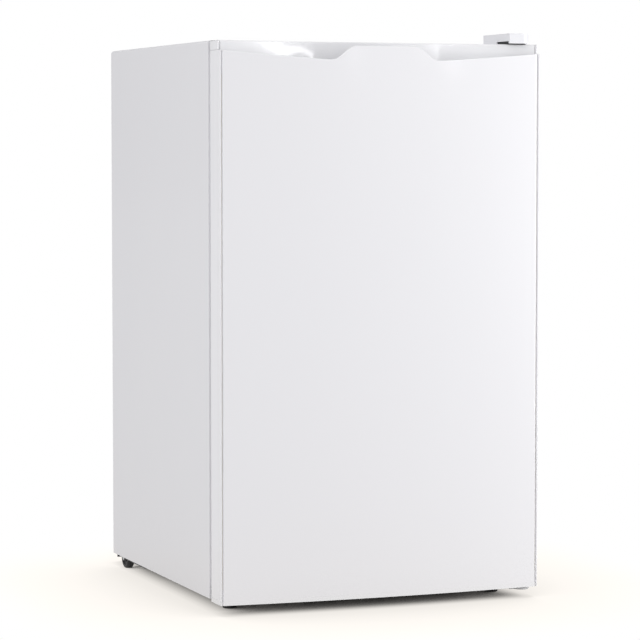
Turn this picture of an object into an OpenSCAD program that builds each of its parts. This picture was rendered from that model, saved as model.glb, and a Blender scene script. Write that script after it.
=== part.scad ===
// Under-counter refrigerator: one door with a scooped top handle, a small freezer box,
// a wire condenser and an open compressor bay at the back.
// Origin: bottom centre of the bounding box. X is the width, Y the depth with the door
// towards -Y, Z is up. All sizes are in millimetres.

/* [Cabinet] */
// Width of the cabinet and of the door
body_w = 504; // [420:1:610]
// Depth of the cabinet, from its front edge to its back plate
body_d = 487; // [400:1:600]
// Height of the worktop above the floor
worktop_z = 832; // [690:1:1000]
// Height of the side panels' lower edge above the floor
sill_z = 20; // [18:1:26]
// Thickness of the insulated side walls
side_wall = 38; // [32:1:46]
// Thickness of the insulated top
top_wall = 42; // [34:1:55]
// Thickness of the insulated back
back_wall = 45; // [36:1:56]
// Thickness of the insulated floor
floor_wall = 38; // [32:1:50]
// Thickness of the sheet steel
sheet = 0.8; // [0.6:0.1:1.2]
// Thickness of the moulded plastic liners
liner_t = 1.6; // [1.2:0.1:2.5]

/* [Door] */
// Depth of the door at its side edges, without the gasket
door_d = 43; // [40:1:52]
// How far the middle of the door swells beyond its side edges
door_bulge = 11; // [6:1:16]
// Height of the door's lower edge above the floor
door_z = 17; // [16.5:0.5:24]
// Drop of the door's upper edge below the worktop
door_drop = 1; // [0:0.5:4]
// Gap between the door's back and the cabinet's front edge
door_gap = 8; // [7:0.5:10]
// Radius of the bead along each side edge of the front
bead_r = 1.3; // [1:0.1:1.8]
// Radius of the groove beside each bead
groove_r = 1.5; // [1.2:0.1:2]
// Height of the lower end cap's visible band
end_band = 6.5; // [5:0.5:10]
// Depth of the hollow rim that the door's liner pushes into the cabinet
dyke_in = 20; // [12:1:24]

/* [Handle] */
// Drop of the front panel's middle tab below the door's upper edge
tab_drop = 6; // [4:0.5:9]
// Drop of the front panel's two low points
dip_drop = 26.4; // [20:0.2:32]
// Drop of the front panel at the door's corners
corner_drop = 14; // [11:0.5:18]
// Half width of the flat middle tab
tab_half = 46; // [30:1:60]
// Distance of each low point from the door's middle
dip_half = 84; // [72:1:110]
// How far the end cap's wall stands back at the corners
scoop_edge = 9; // [7:0.5:12]
// How far the end cap's wall stands back in the middle
scoop_mid = 40; // [30:1:42]

/* [Hinges] */
// Distance of the hinge axis from the door's side edge
axis_in = 18; // [17:0.5:22]
// Distance of the hinge axis in front of the cabinet's front edge
axis_out = 31; // [28:0.5:34]
// Radius of the hinge pins
pin_r = 3.5; // [3:0.1:4]
// Thickness of the hinge brackets
bracket_t = 3; // [2:0.5:3.5]
// Length of the top hinge's cover
cover_l = 94; // [84:1:110]
// Width of the top hinge's cover
cover_w = 35; // [34:1:44]
// Height of the top hinge's cover above the worktop
cover_h = 15; // [13:0.5:20]

/* [Inside] */
// Height of the freezer compartment with its front frame
freezer_h = 116; // [90:1:130]
// Distance of the freezer's flap behind the cabinet's front edge
flap_y = 137; // [130:1:150]
// Height of the chiller tray below the freezer
tray_h = 32; // [24:1:44]
// Height of the crisper drawer
crisper_h = 158; // [110:1:164]
// Height of the shelf support ribs
rib_h = 5; // [4:0.5:7]
// Distance of the shelves' front edge behind the cabinet's front edge
shelf_y = 95; // [88:1:110]
// Depth of the door racks
rack_d = 80; // [56:1:82]

/* [Cooling] */
// Height of the compressor bay's ceiling above the floor
bay_z = 205; // [195:1:225]
// Depth of the compressor bay, from its front wall to the back plate
bay_d = 169; // [160:1:180]
// How far the compressor's base plate reaches behind the back plate
plate_out = 35; // [28:1:42]
// Radius of the compressor's ends
comp_r = 62; // [50:1:64]
// Length of the compressor's straight middle
comp_l = 44; // [30:1:60]
// Number of condenser runs
runs = 14; // [10:2:18]
// Number of condenser wires on each side
wires = 34; // [20:2:44]

/* [Feet] */
// Radius of the levelling feet at the top
foot_r = 12.5; // [11:0.5:14]
// Height of the levelling feet's pads
foot_h = 12; // [10:0.5:13]
// Distance of the levelling feet from the cabinet's side
foot_in = 40; // [34:1:48]
// Radius of the rear rollers
roller_r = 17.5; // [15:0.5:18]
// Width of the rear rollers
roller_w = 12; // [10:1:14]

/* [Hidden] */
fit = 0.3;              // running gap between bodies
slip = 0.15;            // gap between pieces of one body that slide together
half = body_w / 2;
door_top = worktop_z - door_drop;
door_back = -door_gap;
door_front = -door_gap - door_d;
reach_front = door_gap + door_d + door_bulge;
cab_y = (reach_front - body_d - plate_out) / 2;

// the room inside the liner
room_half = half - side_wall - liner_t;
room_top = worktop_z - top_wall - liner_t;
room_floor = sill_z + floor_wall + liner_t;
room_back = body_d - back_wall - liner_t;
bay_y = body_d - bay_d;
hump_y = bay_y - 32;
hump_z = bay_z + 28;
flange_w = 14;

// levels of the shelf ribs, measured at their upper faces
freezer_z = room_top - freezer_h;
tray_rib_z = freezer_z - 6;
crisper_lid_z = max(room_floor + crisper_h + 18, hump_z + rib_h);
mid_gap = (freezer_z - tray_h - crisper_lid_z) / 3;
shelf_low_z = crisper_lid_z + mid_gap;
shelf_top_z = crisper_lid_z + 2 * mid_gap;
rib_in = 9;
room_r = 14;
shelf_t = 4;
shelf_back = room_back - 12;

// the door's front outline
groove_x = half - bead_r - groove_r + 0.05;
swell_half = groove_x - groove_r + 0.05;
bulge_r = (swell_half * swell_half + door_bulge * door_bulge) / (2 * door_bulge);
wall_half = swell_half;
cap_drop = 48;
dyke_half = room_half - 8;
dyke_w = 22;
dyke_low = room_floor + 12;
dyke_high = room_top - 10;
gasket_out = half - axis_in - 2;
gasket_w = 16;
gasket_fin = 2.4;
rack_half = dyke_half - dyke_w - 3;
rack_top_z = freezer_z - tray_h - 82;
rack_mid_z = (rack_top_z + dyke_low) / 2 + 10;
rack_low_z = dyke_low + dyke_w + 10;

axis_x = half - axis_in;
axis_y = -axis_out;
cover_x = half - 12 - cover_w;
cover_under = 3.5;
foot_x = half - foot_in;
foot_y = 28;
stud_r = 4;
thermo_y = 150;
thermo_l = 170;
thermo_d = 30;
thermo_z = shelf_top_z + 0.4 * mid_gap;
thermo_h = 0.55 * mid_gap;
knob_y = thermo_y + 44;
plunger_z = shelf_low_z + 60;
roller_x = half - 14;
roller_y = body_d - 35;
plate_t = 2;
comp_y = bay_y + 88;
comp_x = 40;
comp_z = 34;
comp_top = bay_z - 21;
drain_x = comp_x + 30;
drain_y = room_back - 12;
drain_r = 5;
base_z = sill_z + sheet;
screw_r = 2.4;
cond_y = body_d + 14;
cond_half = half - 50;
cond_low = bay_z + 40;
cond_step = (worktop_z - 44 - cond_low) / (runs - 1);
tube_r = 2.4;
wire_r = 0.8;

// ---------- shared shapes ----------

// moves a piece from the cabinet's own frame (y = 0 at its front edge) to the part's frame
module cab() translate([0, cab_y, 0]) children();

// a piece and its mirror image on the other side
module pair() {
    children();
    mirror([1, 0, 0]) children();
}

// a cube given by its two opposite corners
module box(a, b) translate(a) cube([for (i = [0 : 2]) b[i] - a[i]]);

// a cylinder of radius r from point a to point b, with a ball at each end
module rod(a, b, r, fn = 24) {
    d = b - a;
    l = norm(d);
    translate(a) rotate([0, acos(d[2] / l), atan2(d[1], d[0])]) cylinder(r = r, h = l, $fn = fn);
}

// a pipe along a list of points, closed at its corners by slightly wider balls
module pipe(p, r) {
    for (i = [0 : len(p) - 2]) rod(p[i], p[i + 1], r);
    for (i = [1 : len(p) - 2]) translate(p[i]) sphere(r = r + 0.1, $fn = 24);
}

// an open tray: outer corners a and b, walls t, open at the top
module bin(a, b, t) difference() {
    box(a, b);
    box(a + [t, t, t], [b[0] - t, b[1] - t, b[2] + 1]);
}

// extrudes an outline drawn in X and Z along Y, from y0 to y1
module along_y(y0, y1) translate([0, y1, 0]) rotate([90, 0, 0]) linear_extrude(y1 - y0) children();

// ---------- door outlines ----------

// height of the front panel's upper edge at x
function edge_z(x) = let (a = abs(x), dip = door_top - dip_drop, corner = door_top - corner_drop)
    a < tab_half ? door_top - tab_drop :
    a < dip_half ? dip + (dip_drop - tab_drop)
        * (1 + cos(180 * (a - tab_half) / (dip_half - tab_half))) / 2 :
    dip + (corner - dip) * pow((a - dip_half) / (half - dip_half), 1.15);

// depth position of the scooped wall of the end cap at x
function wall_y(x) = let (edge = door_front + scoop_edge + 1,
    middle = door_front - door_bulge + scoop_mid)
    edge + (middle - edge) * (1 - pow(x / wall_half, 2));

// the door seen from above, shrunk by inset, with its beads, grooves and swollen front
module door_plan(inset = 0) difference() {
    union() {
        translate([inset - half, door_front + bead_r])
            square([body_w - 2 * inset, door_d - bead_r - inset]);
        translate([bead_r - half, door_front + inset])
            square([body_w - 2 * bead_r, bead_r]);
        for (s = [-1, 1]) translate([s * (half - bead_r), door_front + bead_r])
            circle(r = max(bead_r - inset, 0.2), $fn = 32);
        intersection() {
            translate([0, door_front - door_bulge + bulge_r])
                circle(r = bulge_r - inset, $fn = 720);
            translate([inset - swell_half, door_front - door_bulge - 1])
                square([2 * (swell_half - inset), door_bulge + door_d / 2]);
        }
    }
    for (s = [-1, 1]) translate([s * groove_x, door_front])
        circle(r = groove_r + inset, $fn = 32);
}

// the end cap's upper part seen from above: side strips, beads, grooves and scooped wall
module cap_plan() difference() {
    set = door_front + scoop_edge;
    union() {
        polygon([for (i = [-32 : 32]) [wall_half * i / 32, wall_y(wall_half * i / 32)],
            [wall_half, door_back], [-wall_half, door_back]]);
        for (s = [-1, 1]) {
            translate([s * (half - bead_r), set + bead_r]) circle(r = bead_r, $fn = 32);
            translate([s > 0 ? wall_half - 1 : -half, set + bead_r])
                square([half - wall_half + 1, door_back - set - bead_r]);
        }
        for (s = [-1, 1]) translate([s > 0 ? wall_half : -half + bead_r, set])
            square([half - wall_half - bead_r, bead_r]);
    }
    for (s = [-1, 1]) translate([s * groove_x, door_front + scoop_edge])
        circle(r = groove_r, $fn = 32);
}

// everything at or above the front panel's upper edge, lowered by drop
module above_edge(drop = 0) along_y(door_front - door_bulge - 2, door_back + 1) polygon([
    for (i = [-84 : 84]) [half * i / 84, edge_z(half * i / 84) - drop],
    [half + 1, edge_z(half) - drop], [half + 1, door_top + 5],
    [-half - 1, door_top + 5], [-half - 1, edge_z(half) - drop]]);

// the finger scoop's floor: shallow towards the corners, deep behind the tab
scoop_deep = door_top - 42;
module above_floor(drop = 0) along_y(door_front - door_bulge - 1, door_back) polygon([
    for (i = [-84 : 84]) let (x = half * i / 84)
        [x, (abs(x) < dip_half ? scoop_deep
            : max(scoop_deep, edge_z(x) - 6 - 12 * (1 + cos(180 * min(1,
                (abs(x) - dip_half) / 60))) / 2)) - drop],
    [half + 1, door_top + 5], [-half - 1, door_top + 5]]);

// the space in front of the scooped wall, seen from above
module front_of_wall(back = 0) polygon([
    for (i = [-32 : 32]) [wall_half * i / 32, wall_y(wall_half * i / 32) + back],
    [wall_half, door_front - door_bulge - 1], [-wall_half, door_front - door_bulge - 1]]);

// ---------- cabinet ----------

// the shell's outline seen from the front, shrunk by inset, running low under the sill
shell_r = 5;
module shell_outline(inset = 0, low = 0) {
    translate([inset - half, sill_z - low])
        square([body_w - 2 * inset, worktop_z - shell_r - sill_z + low]);
    translate([shell_r - half, worktop_z - shell_r - 1])
        square([body_w - 2 * shell_r, shell_r + 1 - inset]);
    for (s = [-1, 1]) translate([s * (half - shell_r), worktop_z - shell_r])
        circle(r = shell_r - inset, $fn = 48);
}

// a rectangle with round corners between two opposite corners
module rounded(a, b, r) {
    translate([a[0] + r, a[1]]) square([b[0] - a[0] - 2 * r, b[1] - a[1]]);
    translate([a[0], a[1] + r]) square([b[0] - a[0], b[1] - a[1] - 2 * r]);
    for (x = [a[0] + r, b[0] - r], z = [a[1] + r, b[1] - r])
        translate([x, z]) circle(r = r, $fn = 48);
}

// the room inside the cabinet, grown on every side, with the compressor hump left out
module room(grow = 0) difference() {
    along_y(-1, room_back + grow) rounded([-room_half - grow, room_floor - grow],
        [room_half + grow, room_top + grow], room_r + grow);
    box([-half, hump_y + grow, 0], [half, body_d, hump_z - grow]);
}

// positions of the top hinge's screws and of the screws and studs under the sill
hinge_screws = [for (x = [cover_x + 9, cover_x + 24], y = [12, 36]) [x, y]];
foot_screws = [[foot_x - 12, 44], [foot_x + 12, 44]];
module at(points) for (p = points) translate([p[0], p[1], 0]) children();

// bores for the screws through the worktop and through the floor
module worktop_bores(r) pair() at(hinge_screws)
    translate([0, 0, worktop_z - 14]) cylinder(r = r, h = 20, $fn = 24);
module floor_bores(r) pair() at(foot_screws)
    translate([0, 0, sill_z - 4]) cylinder(r = r, h = 16.2, $fn = 24);
module stud_bores(r) pair() at([[foot_x, foot_y]])
    translate([0, 0, sill_z - 4]) cylinder(r = r, h = 24, $fn = 32);

module outer_shell() color("#e3e2e7") cab() {
    difference() {
        along_y(0, body_d) shell_outline();
        along_y(sheet, body_d + 1) shell_outline(sheet, 1);
        along_y(-1, sheet + 1) translate([flange_w - half, sill_z - 1])
            square([body_w - 2 * flange_w, worktop_z - sill_z + 1 - flange_w]);
        worktop_bores(screw_r + slip);
    }
    pair() box([half - 12, 0, sill_z], [half, bay_y, base_z]);
}

module back_plate() color("#b9bcc0") cab() intersection() {
    along_y(body_d - sheet, body_d) shell_outline(sheet);
    box([-half, 0, bay_z], [half, body_d + 1, worktop_z]);
}

module bottom_plate() color("#b9bcc0") cab() difference() {
    union() {
        box([sheet - half, sheet, base_z], [half - sheet, bay_y, base_z + sheet]);
        box([sheet - half, 0, base_z], [half - sheet, sheet, base_z + 14]);
        box([sheet - half, bay_y - sheet, base_z], [half - sheet, bay_y, bay_z]);
        box([sheet - half, bay_y - sheet, bay_z - sheet],
            [half - sheet, body_d - sheet, bay_z]);
    }
    pair() box([half - flange_w, -1, base_z - 1], [half, sheet, base_z + 15]);
    floor_bores(screw_r + slip);
    stud_bores(stud_r + 1);
    translate([drain_x, drain_y, bay_z - 5]) cylinder(r = drain_r, h = 10, $fn = 32);
}

module cabinet_foam() color("#e8dcae") cab() difference() {
    along_y(sheet + liner_t, body_d - sheet) shell_outline(sheet);
    room(liner_t);
    box([-half, 0, 0], [half, body_d, base_z + sheet]);
    box([-half, bay_y - sheet, 0], [half, body_d, bay_z]);
    worktop_bores(screw_r + slip);
    floor_bores(screw_r + slip);
    stud_bores(stud_r + 2);
    translate([drain_x, drain_y, bay_z - 1]) cylinder(r = drain_r, h = 60, $fn = 32);
}

module inner_liner() color("#f1f2f3") cab() {
    difference() {
        union() {
            room(liner_t);
            along_y(sheet, sheet + liner_t) intersection() {
                shell_outline(sheet);
                translate([-half, base_z + sheet]) square([body_w, worktop_z]);
            }
        }
        room();
        box([-half, -2, 0], [half, sheet, worktop_z]);
        translate([drain_x, drain_y, hump_z - 5]) cylinder(r = drain_r, h = 10, $fn = 32);
    }
    for (z = [crisper_lid_z, shelf_low_z, shelf_top_z, tray_rib_z]) pair()
        box([room_half - rib_in, shelf_y + 16, z - rib_h], [room_half + 0.1, shelf_back, z]);
}

module hinge_hole_plugs() color("#ececf0") cab() mirror([1, 0, 0]) at(hinge_screws)
    translate([0, 0, worktop_z]) {
        cylinder(r = 5, h = 1.2, $fn = 32);
        translate([0, 0, -6]) cylinder(r = screw_r, h = 6.1, $fn = 24);
    }

// ---------- freezer ----------

frame_half = room_half - 22;
pivot_z = room_top - 12;
pivot_r = 2.5;
ear_t = 4;
evap_half = frame_half - 10;
evap_y = flap_y + 15;
evap_gap = 6;

module freezer_frame() color("#eef0f2") cab() difference() {
    union() {
        box([-frame_half, flap_y + 3.2, freezer_z], [frame_half, evap_y, room_top]);
        pair() box([frame_half - ear_t, flap_y - 5, pivot_z - 6],
            [frame_half, flap_y + 4, pivot_z + 6]);
    }
    box([14 - frame_half, flap_y, freezer_z + 12], [frame_half - 14, evap_y + 1, room_top - 17]);
    translate([-frame_half - 1, flap_y, pivot_z]) rotate([0, 90, 0])
        cylinder(r = pivot_r + fit, h = 2 * frame_half + 2, $fn = 32);
}

module freezer_flap() color("#dfeaf0") cab() {
    x = frame_half - ear_t - 0.6;
    box([-x, flap_y - 2.2, freezer_z + 3], [x, flap_y + 1.2, pivot_z]);
    box([-60, flap_y - 8, freezer_z + 3], [60, flap_y - 2.2, freezer_z + 6]);
    translate([0.5 - frame_half, flap_y, pivot_z]) rotate([0, 90, 0])
        cylinder(r = pivot_r, h = 2 * frame_half - 1, $fn = 32);
}

module evaporator_box() color("#c9cccf") cab() difference() {
    box([-evap_half, evap_y, freezer_z + 6], [evap_half, room_back - 12, room_top - evap_gap]);
    box([1.5 - evap_half, evap_y - 1, freezer_z + 7.5],
        [evap_half - 1.5, room_back - 13.5, room_top - evap_gap - 1.5]);
}

module evaporator_screws() color("#d8d8d8") cab() for (y = [evap_y + 30, room_back - 45])
    pair() translate([evap_half - 30, y, room_top - evap_gap])
        cylinder(r = 4, h = evap_gap, $fn = 24);

// ---------- inside ----------

module chiller_tray() color("#e4eef2") cab() {
    x = room_half - rib_in - 1;
    y1 = shelf_back - 30;
    top = tray_rib_z + 3;
    bin([-x, flap_y - 2, freezer_z - tray_h], [x, y1, top], 2);
    pair() box([x - 1, flap_y - 2, tray_rib_z + fit], [room_half - 2, y1, top]);
    box([-50, flap_y - 9, top - 3], [50, flap_y - 1, top]);
}

// a shelf's glass, resting on the ribs at height z
module shelf_glass(z) box([3 - room_half, shelf_y + 4, z], [room_half - 3, shelf_back - 4, z + shelf_t]);

// the trims along a shelf's front and rear edges
module shelf_trim(z) difference() {
    union() {
        box([2 - room_half, shelf_y, z - 4], [room_half - 2, shelf_y + 14, z + shelf_t + 3]);
        box([2 - room_half, shelf_back - 14, z], [room_half - 2, shelf_back, z + shelf_t + 9]);
    }
    shelf_glass(z);
    box([-half, shelf_y + 14, z + shelf_t], [half, shelf_back - 6, z + 40]);
}

module shelf_glass_upper() color("#cfe3df") cab() shelf_glass(shelf_top_z);
module shelf_trim_upper() color("#f4f5f6") cab() shelf_trim(shelf_top_z);
module shelf_glass_lower() color("#cfe3df") cab() shelf_glass(shelf_low_z);
module shelf_trim_lower() color("#f4f5f6") cab() shelf_trim(shelf_low_z);
module crisper_cover() color("#cfe3df") cab() shelf_glass(crisper_lid_z);
module crisper_trim() color("#f4f5f6") cab() shelf_trim(crisper_lid_z);

module crisper_drawer() color("#dcebf2") cab() {
    t = 2.5;
    x = room_half - 10;
    y0 = shelf_y;
    y1 = hump_y - 8;
    z0 = room_floor + 3;
    top = room_floor + 3 + crisper_h;
    difference() {
        along_y(y0, y1) rounded([-x, z0], [x, top], 10);
        along_y(y0 + t, y1 - t) rounded([t - x, z0 + t], [x - t, top + 40], 8);
        box([-half, 0, top - 11], [half, body_d, top + 1]);
    }
    box([-70, y0 - 9, top - 14], [70, y0 + 1, top - 11]);
}

module thermostat_housing() color("#f4f5f6") cab() difference() {
    box([room_half - thermo_d, thermo_y, thermo_z],
        [room_half, thermo_y + thermo_l, thermo_z + thermo_h]);
    box([room_half - thermo_d + 2, thermo_y + 2, thermo_z + 2],
        [room_half + 1, thermo_y + thermo_l - 2, thermo_z + thermo_h - 2]);
    lamp_window(0);
    translate([room_half - thermo_d - 1, knob_y, thermo_z + thermo_h / 2]) rotate([0, 90, 0])
        cylinder(r = 3 + fit, h = 5, $fn = 32);
}

// the window of the lamp in the housing's face
module lamp_window(inset) box(
    [room_half - thermo_d - 1, thermo_y + 92 + inset, thermo_z + 10 + inset],
    [room_half - thermo_d + 2, thermo_y + 160 - inset, thermo_z + thermo_h - 10 - inset]);

module thermostat_knob() color("#fafafa") cab()
    translate([room_half - thermo_d - 0.5, knob_y, thermo_z + thermo_h / 2]) {
        rotate([0, -90, 0]) difference() {
            cylinder(r = 17, h = 12, $fn = 64);
            for (a = [0 : 30 : 330]) rotate([0, 0, a]) translate([18.5, 0, 3])
                cylinder(r = 3, h = 10, $fn = 24);
            translate([0, 12, 11.2]) cylinder(r = 1.4, h = 1, $fn = 24);
        }
        rotate([0, 90, 0]) translate([0, 0, -1]) cylinder(r = 3, h = 13, $fn = 32);
    }

module lamp_holder() color("#f0f0f0") cab()
    translate([room_half - thermo_d / 2, thermo_y + thermo_l - 2, thermo_z + thermo_h / 2])
        rotate([90, 0, 0]) cylinder(r = 9, h = 16, $fn = 48);

module lamp_bulb() color("#fff3d0") cab()
    translate([room_half - thermo_d / 2, thermo_y + thermo_l - 18, thermo_z + thermo_h / 2])
        rotate([90, 0, 0]) {
            cylinder(r = 6, h = 12, $fn = 48);
            translate([0, 0, 20]) sphere(r = 10, $fn = 48);
        }

module lamp_cover() color("#f7f7ee") cab() lamp_window(slip);

plunger_x = room_half - 13;
module switch_housing() color("#f4f5f6") cab() difference() {
    box([room_half - 22, dyke_in + 14, plunger_z - 10], [room_half, dyke_in + 40, plunger_z + 10]);
    translate([plunger_x, dyke_in + 38, plunger_z]) rotate([90, 0, 0])
        cylinder(r = 3 + fit, h = 40, $fn = 32);
}

module switch_plunger() color("#ffffff") cab()
    translate([plunger_x, dyke_in + fit, plunger_z]) rotate([-90, 0, 0])
        cylinder(r = 3, h = 30, $fn = 32);

// ---------- hinges ----------

// the top hinge's outline seen from above, shrunk by inset, round at its front right corner
module cover_plan(inset = 0) {
    r = 12;
    x0 = cover_x + inset;
    x1 = cover_x + cover_w;
    y0 = 49 - cover_l;
    translate([x0, y0 + inset]) square([x1 - r - x0, cover_l - 2 * inset]);
    translate([x0, y0 + r]) square([x1 - inset - x0, cover_l - r - inset]);
    translate([x1 - r, y0 + r]) circle(r = r - inset, $fn = 64);
}

module top_hinge_bracket() color("#2b2c2e") cab() {
    difference() {
        translate([0, 0, worktop_z]) linear_extrude(bracket_t) cover_plan(2 + slip);
        worktop_bores(screw_r + slip);
    }
    translate([axis_x, axis_y, door_top - 18])
        cylinder(r = pin_r, h = worktop_z + bracket_t - door_top + 18, $fn = 48);
}

module top_hinge_screws() color("#c8c8c8") cab() at(hinge_screws)
    translate([0, 0, worktop_z + bracket_t]) {
        cylinder(r = 4, h = 2.4, $fn = 32);
        translate([0, 0, -12]) cylinder(r = screw_r, h = 12.1, $fn = 24);
    }

module top_hinge_cover() color("#f0f0f4") cab() translate([0, 0, worktop_z]) difference() {
    linear_extrude(cover_h) cover_plan();
    translate([0, 0, -1]) linear_extrude(cover_h - 1) cover_plan(2);
    box([0, 52.6 - cover_l, -1], [half, 0, cover_under]);
}

module bottom_hinge_bracket() color("#d9dade") cab() difference() {
    low = door_z - 2.5 - bracket_t;
    union() {
        box([foot_x - 20, 2, sill_z - bracket_t], [half - 4, 54, sill_z]);
        box([foot_x + 4, 2, low], [half - 4, 2 + bracket_t, sill_z - bracket_t]);
        box([foot_x + 4, axis_y, low], [half - 4, 2 + bracket_t, low + bracket_t]);
        translate([axis_x, axis_y, low]) cylinder(r = 11, h = bracket_t, $fn = 64);
        translate([axis_x, axis_y, low]) cylinder(r = pin_r, h = door_z + 18 - low, $fn = 48);
    }
    stud_bores(stud_r + fit);
    floor_bores(screw_r + slip);
}

module left_foot_plate() color("#d9dade") cab() difference() {
    box([-foot_x - 20, 8, sill_z - bracket_t], [20 - foot_x, 54, sill_z]);
    stud_bores(stud_r + fit);
    floor_bores(screw_r + slip);
}

module bracket_screws() color("#c8c8c8") cab() pair() at(foot_screws) {
    translate([0, 0, sill_z - bracket_t - 2.2]) cylinder(r = 4, h = 2.2, $fn = 32);
    translate([0, 0, sill_z - bracket_t - 0.1]) cylinder(r = screw_r, h = 15, $fn = 24);
}

// ---------- feet and rollers ----------

module levelling_foot(x) translate([x, foot_y, 0]) {
    cylinder(r1 = foot_r * 0.78, r2 = foot_r, h = foot_h, $fn = 64);
    translate([0, 0, foot_h - 0.1]) cylinder(r = 7, h = 3, $fn = 6);
    translate([0, 0, foot_h]) cylinder(r = stud_r, h = sill_z + 14 - foot_h, $fn = 48);
}
module levelling_foot_left() color("#1d1d1f") cab() levelling_foot(-foot_x);
module levelling_foot_right() color("#1d1d1f") cab() levelling_foot(foot_x);

tab_x = roller_x - roller_w / 2 - 7;
module base_plate() color("#26272a") cab() difference() {
    low = sill_z - plate_t;
    edge = half - sheet - fit;
    union() {
        box([-edge, bay_y, low], [edge, roller_y - 24, sill_z - fit]);
        box([-tab_x, bay_y, low], [tab_x, body_d + plate_out, sill_z - fit]);
        box([17 - half, body_d + 2, low], [half - 17, body_d + plate_out, sill_z - fit]);
        box([17 - half, body_d + plate_out - 2, 7.5], [half - 17, body_d + plate_out, sill_z - fit]);
        pair() box([tab_x, roller_y - 14, 8], [tab_x + 2.5, roller_y + 14, 32]);
        pair() box([edge - 2, bay_y + 2, low], [edge, roller_y - 24, sill_z + 22]);
    }
    translate([-half, roller_y, roller_r]) rotate([0, 90, 0]) cylinder(r = 3, h = body_w, $fn = 32);
    at([for (x = grommet_x, y = grommet_y) [x, y]]) cylinder(r = 3, h = 40, $fn = 24);
    at([gland_at]) cylinder(r = 6, h = 40, $fn = 32);
}

module roller_axles() color("#b5b7ba") cab() pair() {
    translate([tab_x, roller_y, roller_r]) rotate([0, 90, 0]) {
        cylinder(r = 3, h = roller_x + roller_w / 2 + 2 - tab_x, $fn = 32);
        translate([0, 0, roller_x + roller_w / 2 + fit - tab_x]) cylinder(r = 5, h = 2, $fn = 32);
    }
}

module rear_roller(x) translate([x - roller_w / 2, roller_y, roller_r]) rotate([0, 90, 0])
    difference() {
        cylinder(r = roller_r, h = roller_w, $fn = 96);
        translate([0, 0, -1]) cylinder(r = 3 + fit, h = roller_w + 2, $fn = 32);
        translate([0, 0, roller_w - 2]) difference() {
            cylinder(r = roller_r - 3, h = 3, $fn = 64);
            cylinder(r = 6.5, h = 3, $fn = 32);
        }
    }
module rear_roller_left() color("#17181a") cab() mirror([1, 0, 0]) rear_roller(roller_x);
module rear_roller_right() color("#17181a") cab() rear_roller(roller_x);

// ---------- cooling unit ----------

grommet_x = [comp_x - 76, comp_x + 76];
grommet_y = [comp_y - 52, comp_y + 52];
gland_at = [150, body_d + plate_out / 2];

// a long outline with round ends
module stadium(r, l) {
    square([l, 2 * r], center = true);
    for (s = [-1, 1]) translate([s * l / 2, 0]) circle(r = r, $fn = 96);
}

// half of the shell's section: elliptical bowls above and below a straight band
function shell_side(r, h, bowl) = concat(
    [for (a = [-90 : 10 : 0]) [r * cos(a), bowl * (1 + sin(a))]],
    [for (a = [0 : 10 : 90]) [r * cos(a), h - bowl + bowl * sin(a)]]);

module compressor() color("#1b1c1e") cab() difference() {
    translate([comp_x, comp_y, comp_z]) {
        for (s = [-1, 1]) translate([s * comp_l / 2, 0, 0]) rotate_extrude($fn = 96)
            polygon(shell_side(comp_r, comp_top - comp_z, 26));
        rotate([90, 0, 90]) linear_extrude(comp_l, center = true) union() {
            polygon(shell_side(comp_r, comp_top - comp_z, 26));
            mirror([1, 0]) polygon(shell_side(comp_r, comp_top - comp_z, 26));
        }
        translate([0, 0, (comp_top - comp_z) * 0.55]) linear_extrude(3) stadium(comp_r + 3, comp_l);
        translate([-86, -60, -3]) cube([172, 120, 3]);
        translate([0, 0, -1]) linear_extrude(14) stadium(comp_r - 26, comp_l);
    }
    at([for (x = grommet_x, y = grommet_y) [x, y]]) cylinder(r = 5, h = 60, $fn = 32);
}

module compressor_grommets() color("#101010") cab()
    at([for (x = grommet_x, y = grommet_y) [x, y]]) difference() {
        union() {
            translate([0, 0, sill_z - fit]) cylinder(r = 9, h = comp_z - 3 - sill_z + fit, $fn = 32);
            translate([0, 0, comp_z - 3.1]) cylinder(r = 5, h = 4, $fn = 32);
        }
        cylinder(r = 3, h = 60, $fn = 24);
    }

module compressor_nuts() color("#c8c8c8") cab()
    at([for (x = grommet_x, y = grommet_y) [x, y]]) {
        translate([0, 0, sill_z - plate_t - 2]) cylinder(r = 5, h = 2, $fn = 32);
        translate([0, 0, sill_z - plate_t - 1]) cylinder(r = 3, h = comp_z + 8 - sill_z, $fn = 24);
        translate([0, 0, comp_z + 0.9]) cylinder(r = 5.5, h = 4, $fn = 6);
    }

module relay_cover() color("#2a2b2e") cab() difference() {
    box([comp_x + 60, comp_y - 24, 66], [comp_x + comp_l / 2 + comp_r + 26, comp_y + 24, 114]);
    translate([comp_x, comp_y, 40]) linear_extrude(100) stadium(comp_r + 0.1, comp_l);
    translate([comp_x, comp_y, 40]) linear_extrude(100) stadium(comp_r + 3.1, comp_l - 40);
}

module cord_gland() color("#151515") cab() at([gland_at]) difference() {
    union() {
        translate([0, 0, sill_z - plate_t - 3]) cylinder(r = 8.5, h = 3, $fn = 48);
        translate([0, 0, sill_z - plate_t - 0.5]) cylinder(r = 6, h = plate_t + 1, $fn = 48);
        translate([0, 0, sill_z - fit]) cylinder(r = 8.5, h = 3, $fn = 48);
    }
    cylinder(r = 3.6, h = 60, $fn = 32);
}

module evaporation_tray() color("#3a3b3e") cab()
    bin([comp_x - 70, comp_y - 48, comp_top], [comp_x + 70, comp_y + 48, comp_top + 14], 1.8);

module drain_tube() color("#e6e6e6") cab() translate([drain_x, drain_y, comp_top + 6]) difference() {
    cylinder(r = drain_r, h = hump_z - comp_top - 6, $fn = 32);
    translate([0, 0, -1]) cylinder(r = drain_r - 1.4, h = 100, $fn = 32);
}

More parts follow.
